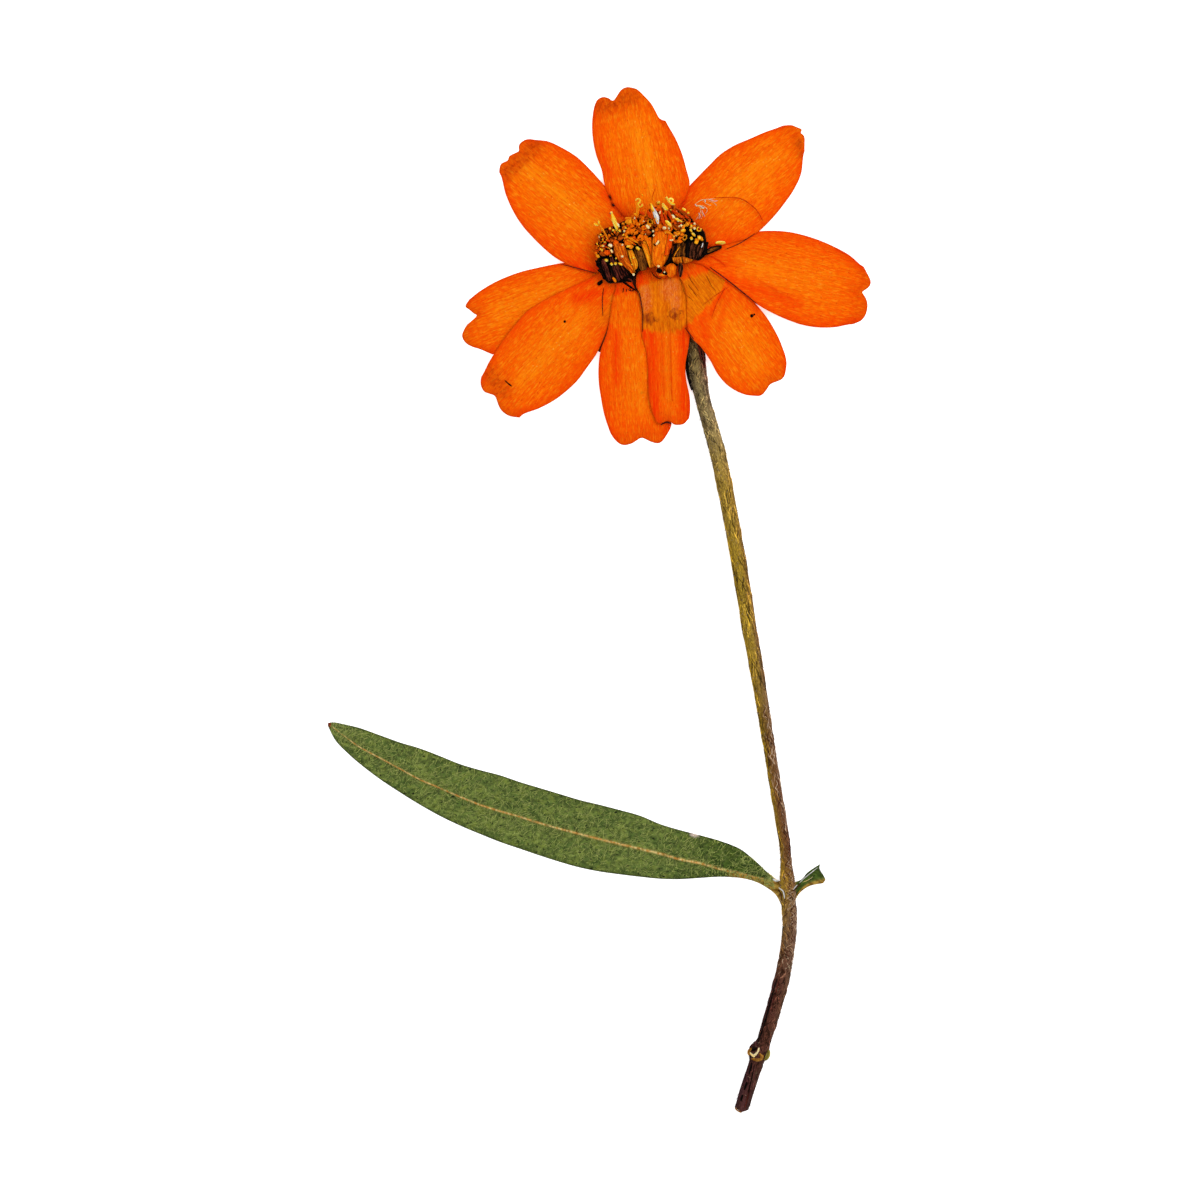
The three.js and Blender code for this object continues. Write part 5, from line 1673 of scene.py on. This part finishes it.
def build_leaf(material, hair_material, layers):
    x, y, low, high, edge, outward, from_rib = leaf_surface()
    layers.lay(x, y, high)
    petiole_part = ramp(x, *PETIOLE_BELOW_RIB) * ease((0.15 - from_rib) / 0.2)
    petiole_part = petiole_part + ramp(x, *PETIOLE_WHOLE)
    values = {
        "rib": np.clip(1.3 * bell(from_rib, mix(*RIB_LINE_WIDTHS, ramp(x, *RIB_LINE_WIDENS))), 0, 1),
        "vein": side_veins(x, outward),
        "rim": 0.7 * bell(edge, 0.16) + 0.12 * bell(edge, 0.9),
        "petiole": np.clip(petiole_part, 0, 1),
        "brown": spot(x, y, *BROWN_TIP),
        "shaded": LEAF_DARKNESS * ramp(x, *LEAF_DARKENS),
        "pale": spot(x, y, *PALE_FLECK),
    }
    sheet_piece("leaf_blade", x, y, low, high, (x, y, 0.0), values, material, "leaf", "leaf")
    build_leaf_hairs(x, y, high, edge, hair_material)


def build_stub(material, layers):
    last = len(stub_lower) - 1
    t = np.linspace(0, last, STUB_ROWS)
    lower = curve_at(stub_lower, 1.0, t)
    upper = curve_at(stub_upper, 1.0, t)
    f = np.linspace(0, 1, STUB_COLUMNS)[::-1, None]
    jut = curve_at(stub_tear, 1.0, f * (len(stub_tear) - 1)) * ramp(t, 1.6, 1.4)
    x = mix(lower[None, :, 0], upper[None, :, 0], f) + jut
    y = mix(lower[None, :, 1], upper[None, :, 1], f)
    fold = bell(f - STUB_FOLD_PLACE, STUB_FOLD_WIDTH)
    low = STUB_FOOT + STUB_ARCH * np.sin(math.pi * f) + 0.04 * np.cos(9 * f + x)
    high = low + STUB_BODY + STUB_FOLD * fold
    edge = np.minimum(np.minimum(f, 1 - f) * STUB_WIDTH, last - t)
    values = {
        "rib": 0.15 * fold * ramp(t, 0.3, 1),
        "rim": 0.6 * bell(edge, 0.12),
        "petiole": np.clip(ease((0.28 - f) / 0.12) + ease((0.6 - t) / 0.5), 0, 1),
        "shaded": STUB_DARKNESS,
    }
    layers.lay(x, y, high)
    sheet_piece("leaf_stub_torn", x, y, low, high, (x, y, STUB_SHIFT), values, material, "leaf", "leaf_stub")


# Disc

def disc_radius(x, y):
    """0 at the middle of the disc and 1 at its edge."""
    return np.hypot((x - DISC_CENTRE[0]) / DISC_RADII[0], (y - DISC_CENTRE[1]) / DISC_RADII[1])


def disc_top(x, y):
    """Height of the low dome that the florets stand on."""
    r = disc_radius(x, y)
    return DISC_EDGE_HEIGHT + DISC_RISE * np.sqrt(np.maximum(0, 1 - r * r))


def disc_ground(layers, x, y):
    """The dome of the disc, or what has been laid beyond its edge."""
    dome = disc_top(x, y)
    beyond = np.minimum(dome, layers.level(x, y) + LAYER_GAP)
    return mix(dome, beyond, ramp(disc_radius(x, y), 1.0, 0.35))


class Heap:
    """Meshes gathered into one piece, each with its own two colours."""

    def __init__(self):
        self.points = []
        self.faces = []
        self.place = []
        self.tone = []
        self.dark = []
        self.light = []

    def add(self, points, faces, place, tone, tint, pale=0.0):
        """Tone darkens the points, as painted shade at the feet and in the hollow mouths of florets, and pale
        moves the dark colour of the tint towards its light one.
        """
        first = sum(len(p) for p in self.points)
        self.points.append(np.asarray(points))
        self.faces.extend([tuple(first + corner for corner in face) for face in faces])
        self.place.append(np.asarray(place, float))
        self.tone.append(np.broadcast_to(tone, len(points)))
        dark, light = (np.array(linear(colour)) for colour in tints[tint])
        self.dark.append(np.tile((*mix(dark, light, pale), 1.0), (len(points), 1)))
        self.light.append(np.tile((*light, 1.0), (len(points), 1)))

    def add_sheet(self, x, y, low, high, pattern, tone, tint):
        self.add(*sheet_mesh(x, y, low, high), sheet_place(x.shape, pattern), both(tone, x.shape), tint)

    def add_rods(self, rods, tint, sides=STYLE_SIDES, roughness=0.0, rng=None):
        points, faces, _, place = rods_mesh(rods, sides, roughness, rng)
        self.add(points, faces, place, 0.0, tint)

    def make(self, name, material, slot="disc", replaced="disc_florets", smooth=True):
        piece = make_piece(
            name, np.concatenate(self.points), self.faces, material, slot, replaced,
            np.concatenate(self.place), {"tone": np.concatenate(self.tone)},
            {"tint_dark": np.concatenate(self.dark), "tint_light": np.concatenate(self.light)},
        )
        if not smooth:
            piece.data.shade_flat()


def build_disc_bed(layers, material):
    """The dark lumpy bed of chaff that the florets stand in."""
    rim = smooth_path((*bed_edge, bed_edge[0]), 4)
    r = np.linspace(0.02, 1, BED_RINGS)[None, :]
    x = DISC_CENTRE[0] + (rim[:, 0:1] - DISC_CENTRE[0]) * r
    y = DISC_CENTRE[1] + (rim[:, 1:2] - DISC_CENTRE[1]) * r
    low = layers.rest(x, y, BED_FOOT + 0 * x)
    lumps = LUMP_HEIGHT * ripples(random.Random(BED_SEED), x, y, 10, 6.0) * ease((1 - r) / 0.1)
    high = np.maximum(disc_top(x, y) - mix(*BED_DEPTHS, r ** 6) + lumps, low + BED_BODY)
    layers.lay(x, y, high)
    heap = Heap()
    heap.add_sheet(x, y, low, high, (x, y, 0.0), 1 - 0.75 * ramp(r, 0.97, 0.03), "husk")
    heap.make("disc_bed", material)


def add_strap(heap, layers, tint, left, right, lift, crown, pleats, number, body=STRAP_BODY, detail=8):
    """A dry strap between two edges, rounded across, with pleats along it, resting on what is below."""
    t = np.linspace(0, len(left) - 1, detail * (len(left) - 1) + 1)
    left_edge = curve_at(left, 1.0, t)
    right_edge = curve_at(right, 1.0, t * (len(right) - 1) / (len(left) - 1))
    rise = curve_at(lift, 1.0, t * (len(lift) - 1) / (len(left) - 1))[None, :]
    side = np.linspace(-1, 1, STRAP_COLUMNS)[::-1, None]
    x = mix(left_edge[None, :, 0], right_edge[None, :, 0], (side + 1) / 2)
    y = mix(left_edge[None, :, 1], right_edge[None, :, 1], (side + 1) / 2)
    low = disc_ground(layers, x, y) + rise + crown * (1 - side ** 2)
    low = low + PLEAT_DEPTH * np.cos(math.pi * pleats * side) * (pleats > 0)
    low = layers.rest(x, y, low - body)
    high = low + body
    layers.lay(x, y, high)
    half_width = np.linalg.norm(right_edge - left_edge, axis=1) / 2
    pattern = (side * half_width, travelled((left_edge + right_edge) / 2), number * STRAP_SHIFT)
    heap.add_sheet(x, y, low, high, pattern, 0.45 * ramp(np.abs(side), 0.8, 0.2), tint)


def add_scale(heap, layers, tint, path, width, lift, number, body=SCALE_BODY):
    """A narrow pointed scale along a path."""
    spine = smooth_path(path, 4)
    half = width / 2 * np.sin(math.pi * np.linspace(*SCALE_TAPER, len(spine))) ** 0.6
    aside = headings(spine)[:, ::-1] * (-1, 1) * half[:, None]
    add_strap(heap, layers, tint, spine - aside, spine + aside, (lift, lift), SCALE_CROWN, 2, number, body, 2)


def add_floret(heap, x, y, radius, stretch, turn, tint, hollow, number, rng):
    """A dry floret: an angular lobe that stands in the bed, closed or hollow at its top, with painted shade
    at its foot and inside a hollow top.
    """
    lean = np.array((
        (x - DISC_CENTRE[0]) / DISC_RADII[0] * LEAN_OUT[0] + rng.uniform(-LEAN_SWAY, LEAN_SWAY),
        (y - DISC_CENTRE[1]) / DISC_RADII[1] * LEAN_OUT[1] + LEAN_BACK
        + rng.uniform(-LEAN_SWAY, LEAN_SWAY),
        1.0,
    ))
    lean /= np.linalg.norm(lean)
    across = np.array((math.cos(turn), math.sin(turn), 0.0))
    across -= lean * across.dot(lean)
    other = np.cross(lean, across)
    height = mix(*FLORET_HEIGHTS, rng.random()) + 0.5 * radius
    foot = np.array((x, y, disc_top(x, y) - FLORET_SINK)) - lean * (1.0, 1.0, 0.0) * height * 0.8
    bulge = [rng.uniform(*FLORET_BULGES) for _ in range(FLORET_SIDES)]
    points = []
    tones = []
    place = []
    rings = HOLLOW_FLORET if hollow else CLOSED_FLORET
    for rise, width, shade in rings:
        for k in range(FLORET_SIDES):
            angle = 2 * math.pi * k / FLORET_SIDES
            r = radius * width * bulge[k]
            up = height * rise + 0.1 * radius * (bulge[k] - 1) * 5
            spread = across * math.cos(angle) * r * stretch
            points.append(foot + lean * up + spread + other * math.sin(angle) * r)
            # Painted shade: near black at the foot and inside a hollow mouth.
            tones.append(shade)
            place.append((r * math.cos(angle) * stretch, up + r * math.sin(angle), number * FLORET_SHIFT))
    faces = tube_faces(FLORET_SIDES, len(rings))
    heap.add(points, faces, place, tones, tint, rng.random() * 0.5)
    return np.array(points[-2 * FLORET_SIDES:])


def floret_kind(x, y, rng):
    """Tint, radius and stretch of one of the crowded florets, by where it stands."""
    if x < LEFT_PART_END:
        kind = CROWD["left"]
    elif x > BACK_PART_START[0] and y > BACK_PART_START[1]:
        kind = CROWD["back"]
    elif x > RIGHT_PART_START:
        kind = CROWD["right"]
    else:
        kind = CROWD["middle"]
    kind_tints, radii, stretches = kind
    return rng.choice(kind_tints), rng.uniform(*radii), rng.uniform(*stretches)


def in_bank(x, y):
    """Whether a place lies where the florets crowd."""
    top_x, top_y = np.array(bank_top).T
    foot_x, foot_y = np.array(bank_foot).T
    return foot_x[0] < x < foot_x[-1] and np.interp(x, foot_x, foot_y) < y < np.interp(x, top_x, top_y)


def build_florets(layers, material):
    rng = random.Random(FLORET_SEED)
    heap = Heap()
    number = 0
    for row in range(FLORET_ROWS):
        for column in range(FLORET_COLUMNS):
            x = FLORET_CORNER[0] + FLORET_PITCH * (column + 0.5 * (row % 2)) + rng.uniform(-SWAY, SWAY)
            y = FLORET_CORNER[1] + FLORET_PITCH * ROW_PITCH * row + rng.uniform(-SWAY, SWAY)
            bare = any(((x - cx) / rx) ** 2 + ((y - cy) / ry) ** 2 < 1 for (cx, cy), (rx, ry) in bare_spots)
            large = any(math.hypot(x - f[0], y - f[1]) < f[2] * LARGE_CLEARANCE for f in large_florets)
            if bare or large or not in_bank(x, y):
                continue
            tint, radius, stretch = floret_kind(x, y, rng)
            turn = math.atan2(y - FAN_Y, x - DISC_CENTRE[0]) + rng.uniform(-TURN_SWAY, TURN_SWAY)
            hollow = rng.random() < HOLLOW_SHARE
            top = add_floret(heap, x, y, radius, stretch, turn, tint, hollow, number, rng)
            layers.lay(*top.T)
            number += 1
    for x, y, radius, stretch, turn, tint, hollow in large_florets:
        top = add_floret(heap, x, y, radius, stretch, math.radians(turn), tint, hollow, number, rng)
        layers.lay(*top.T)
        number += 1
    heap.make("disc_florets_crowded", material, smooth=False)


def grain_rod(layers, grain):
    """A bead or a short bar with rounded ends, sunk a little into what lies below it."""
    radius = grain[-1]
    if len(grain) == 3:
        x, y = grain[:2]
        z = float(layers.level(x, y)) + radius * GRAIN_LIFT
        return [(x, y, z + radius * up, radius * width) for up, width in BEAD_SHAPE]
    x0, y0, x1, y1 = grain[:4]
    along, width = np.array(BAR_SHAPE).T
    x = mix(x0, x1, along)
    y = mix(y0, y1, along)
    carried = layers.level(x, y)
    way = along * math.hypot(x1 - x0, y1 - y0)
    hung = (carried[None, :] - BAR_LEAN * np.abs(way[:, None] - way[None, :])).max(axis=1)
    return list(zip(x, y, np.maximum(carried, hung) + radius * GRAIN_LIFT, radius * width))


def loop_rod(x, y, lift, radius, thickness, opening):
    """A curled style: a ring that is left open at one side."""
    rod = []
    for s in np.linspace(0, 1, LOOP_POINTS):
        angle = opening + LOOP_GAP / 2 + s * (2 * math.pi - LOOP_GAP)
        px = x + radius * math.cos(angle)
        py = y + radius * math.sin(angle)
        rod.append((px, py, disc_top(px, py) + lift + 0.1 * math.sin(angle), thickness))
    return rod


def build_crumbs(layers, material):
    """Short bits of anther and chaff strewn over the florets."""
    rng = random.Random(CRUMB_SEED)
    heap = Heap()
    lowest = min(y for _, y in bank_foot)
    highest = max(y for _, y in bank_top)
    for _ in range(CRUMBS):
        x = rng.uniform(bank_foot[0][0], bank_foot[-1][0])
        y = rng.uniform(lowest, highest)
        tint = rng.choice(CRUMB_TINTS)
        length = rng.uniform(*CRUMB_LENGTHS)
        turn = rng.uniform(0, math.pi)
        if in_bank(x, y):
            end = (x + length * math.cos(turn), y + length * math.sin(turn))
            bar = (x, y, *end, rng.uniform(*CRUMB_RADII))
            heap.add_rods([grain_rod(layers, bar)], tint, CRUMB_SIDES, GRAIN_ROUGHNESS, rng)
    heap.make("disc_crumbs", material, smooth=False)


def add_scale_fan(heap, layers, feet, tips, fan_tints, seed):
    """Overlapping scales that all rest on what lay there before the first of them."""
    rng = random.Random(seed)
    ground = layers.top
    reached = layers.top
    for k, tint in enumerate(fan_tints):
        at = (len(feet) - 1) * k / (len(fan_tints) - 1)
        foot = curve_at(feet, 1.0, at) + [rng.uniform(*stray) for stray in FOOT_STRAYS]
        tip = curve_at(tips, 1.0, at) + [rng.uniform(*stray) for stray in TIP_STRAYS]
        middle = ((foot[0] + tip[0]) / 2 + rng.uniform(*MIDDLE_STRAYS), (foot[1] + tip[1]) / 2)
        width = rng.uniform(*FAN_WIDTHS)
        lift = rng.uniform(*FAN_LIFTS)
        layers.top = ground.copy()
        add_scale(heap, layers, tint, (foot, middle, tip), width, lift, seed + k, FAN_BODY)
        reached = np.maximum(reached, layers.top)
    layers.top = reached


def build_chaff(layers, material):
    heap = Heap()
    for feet, tips, fan_tints in scale_fans:
        add_scale_fan(heap, layers, feet, tips, fan_tints, FAN_SEEDS[0])
        add_scale_fan(heap, layers, feet, tips, fan_tints[::2], FAN_SEEDS[1])
    for number, (tint, path, width, lift) in enumerate(chaff):
        add_scale(heap, layers, tint, path, width, lift - CHAFF_SINK, number)
    heap.make("disc_chaff", material)


def build_straps(layers, material):
    heap = Heap()
    for number, (tint, left, right, lift, crown, pleats) in enumerate(straps):
        add_strap(heap, layers, tint, left, right, lift, crown, pleats, number)
    for number, (path, width) in enumerate(black_lines):
        add_scale(heap, layers, "black", path, width, 0.0, number)
    heap.make("disc_straps", material)


def build_grains(layers, material):
    rng = random.Random(GRAIN_SEED)
    heap = Heap()
    for tint, shapes in grains:
        for grain in shapes:
            heap.add_rods([grain_rod(layers, grain)], tint, GRAIN_SIDES, GRAIN_ROUGHNESS, rng)
    heap.make("disc_grains", material, smooth=False)


def build_styles(material):
    heap = Heap()
    for tint, rod in styles:
        heap.add_rods([[(x, y, disc_top(x, y) + lift, radius) for x, y, lift, radius in rod]], tint)
    heap.add_rods([loop_rod(*loop) for loop in style_loops], "yellow")
    heap.make("disc_styles", material)


def build_lines(name, lines, layers, material, slot, replaced):
    """Lays fine rods on what is below them, with their ends tapered."""
    heap = Heap()
    for tint, path, radius in lines:
        spine = smooth_path(path, LINE_STEPS)
        taper = np.sin(math.pi * np.linspace(*LINE_TAPER, len(spine))) ** 0.5
        heights = layers.level(spine[:, 0], spine[:, 1]) + LINE_LIFT - LINE_SINK * radius
        heights = np.maximum(heights, radius)
        heap.add_rods([list(zip(*spine.T, heights, radius * taper))], tint, LINE_SIDES)
    heap.make(name, material, slot, replaced)


# Floor, light and camera

def build_floor():
    half = FLOOR_SIZE / 2 * MM
    corners = [(-half, -half, 0), (half, -half, 0), (half, half, 0), (-half, half, 0)]
    mesh = bpy.data.meshes.new("floor")
    mesh.from_pydata(corners, [], [(0, 1, 2, 3)])
    floor = bpy.data.objects.new("floor", mesh)
    floor.location.z = FLOOR_LEVEL * MM
    bpy.context.scene.collection.objects.link(floor)
    paint = Paint("floor", 0.9, 0.1)
    paint.fill(paint.shader, {
        "Base Color": FLOOR_COLOUR,
        "Emission Color": WHITE,
        "Emission Strength": FLOOR_GLOW,
    })
    mesh.materials.append(paint.material)


def build_lights():
    world = bpy.data.worlds.new("soft_studio")
    world.use_nodes = True
    background = world.node_tree.nodes["Background"]
    background.inputs["Color"].default_value = WHITE
    background.inputs["Strength"].default_value = WORLD_LIGHT
    bpy.context.scene.world = world
    for name, place, power, size in lamps:
        light = bpy.data.lights.new(name, "AREA")
        light.energy = power
        light.size = size
        lamp = bpy.data.objects.new(name, light)
        lamp.location = place
        lamp.rotation_euler = (-lamp.location).to_track_quat("-Z", "Y").to_euler()
        bpy.context.scene.collection.objects.link(lamp)


def build_camera():
    camera = bpy.data.cameras.new("camera")
    camera.lens = LENS
    camera.sensor_width = SENSOR
    camera.clip_end = CLIP_END
    holder = bpy.data.objects.new("camera", camera)
    holder.location = (0.0, 0.0, VIEW_WIDTH * LENS / SENSOR * MM)
    bpy.context.scene.collection.objects.link(holder)
    bpy.context.scene.camera = holder
    bpy.context.scene.view_settings.view_transform = "Standard"


build_camera()
build_floor()
build_lights()

layers = HeightMap(*HEAD_CORNERS)
bract_material = bract_paint()
cup_base(bract_material)
for number, bract in enumerate(bracts):
    bract_piece("bract_%d" % (number + 1), bract, number, layers, bract_material)
bract_piece("bract_spread", spread_bract, len(bracts), layers, bract_material)

petal_material = petal_paint()
for number, petal in enumerate(petals):
    lay_petal(number, petal, layers, petal_material)

dry_material = dry_paint()
build_lines("petal_fine_lines", petal_lines, layers, dry_material, "petal", "ray_petals")
build_disc_bed(layers, dry_material)
build_chaff(layers, dry_material)
build_straps(layers, dry_material)
build_florets(layers, dry_material)
build_crumbs(layers, dry_material)
build_grains(layers, dry_material)
build_styles(dry_material)

stalk_layers = HeightMap(*STALK_CORNERS)
build_stem(stem_paint(), hair_paint("stem_hair", *STEM_HAIR_COLOURS), stalk_layers)
leaf_material = leaf_paint()
build_leaf(leaf_material, hair_paint("leaf_hair", *LEAF_HAIR_COLOURS), stalk_layers)
build_stub(leaf_material, stalk_layers)
build_lines("stem_fine_lines", stem_lines, stalk_layers, dry_material, "stem", "stem")
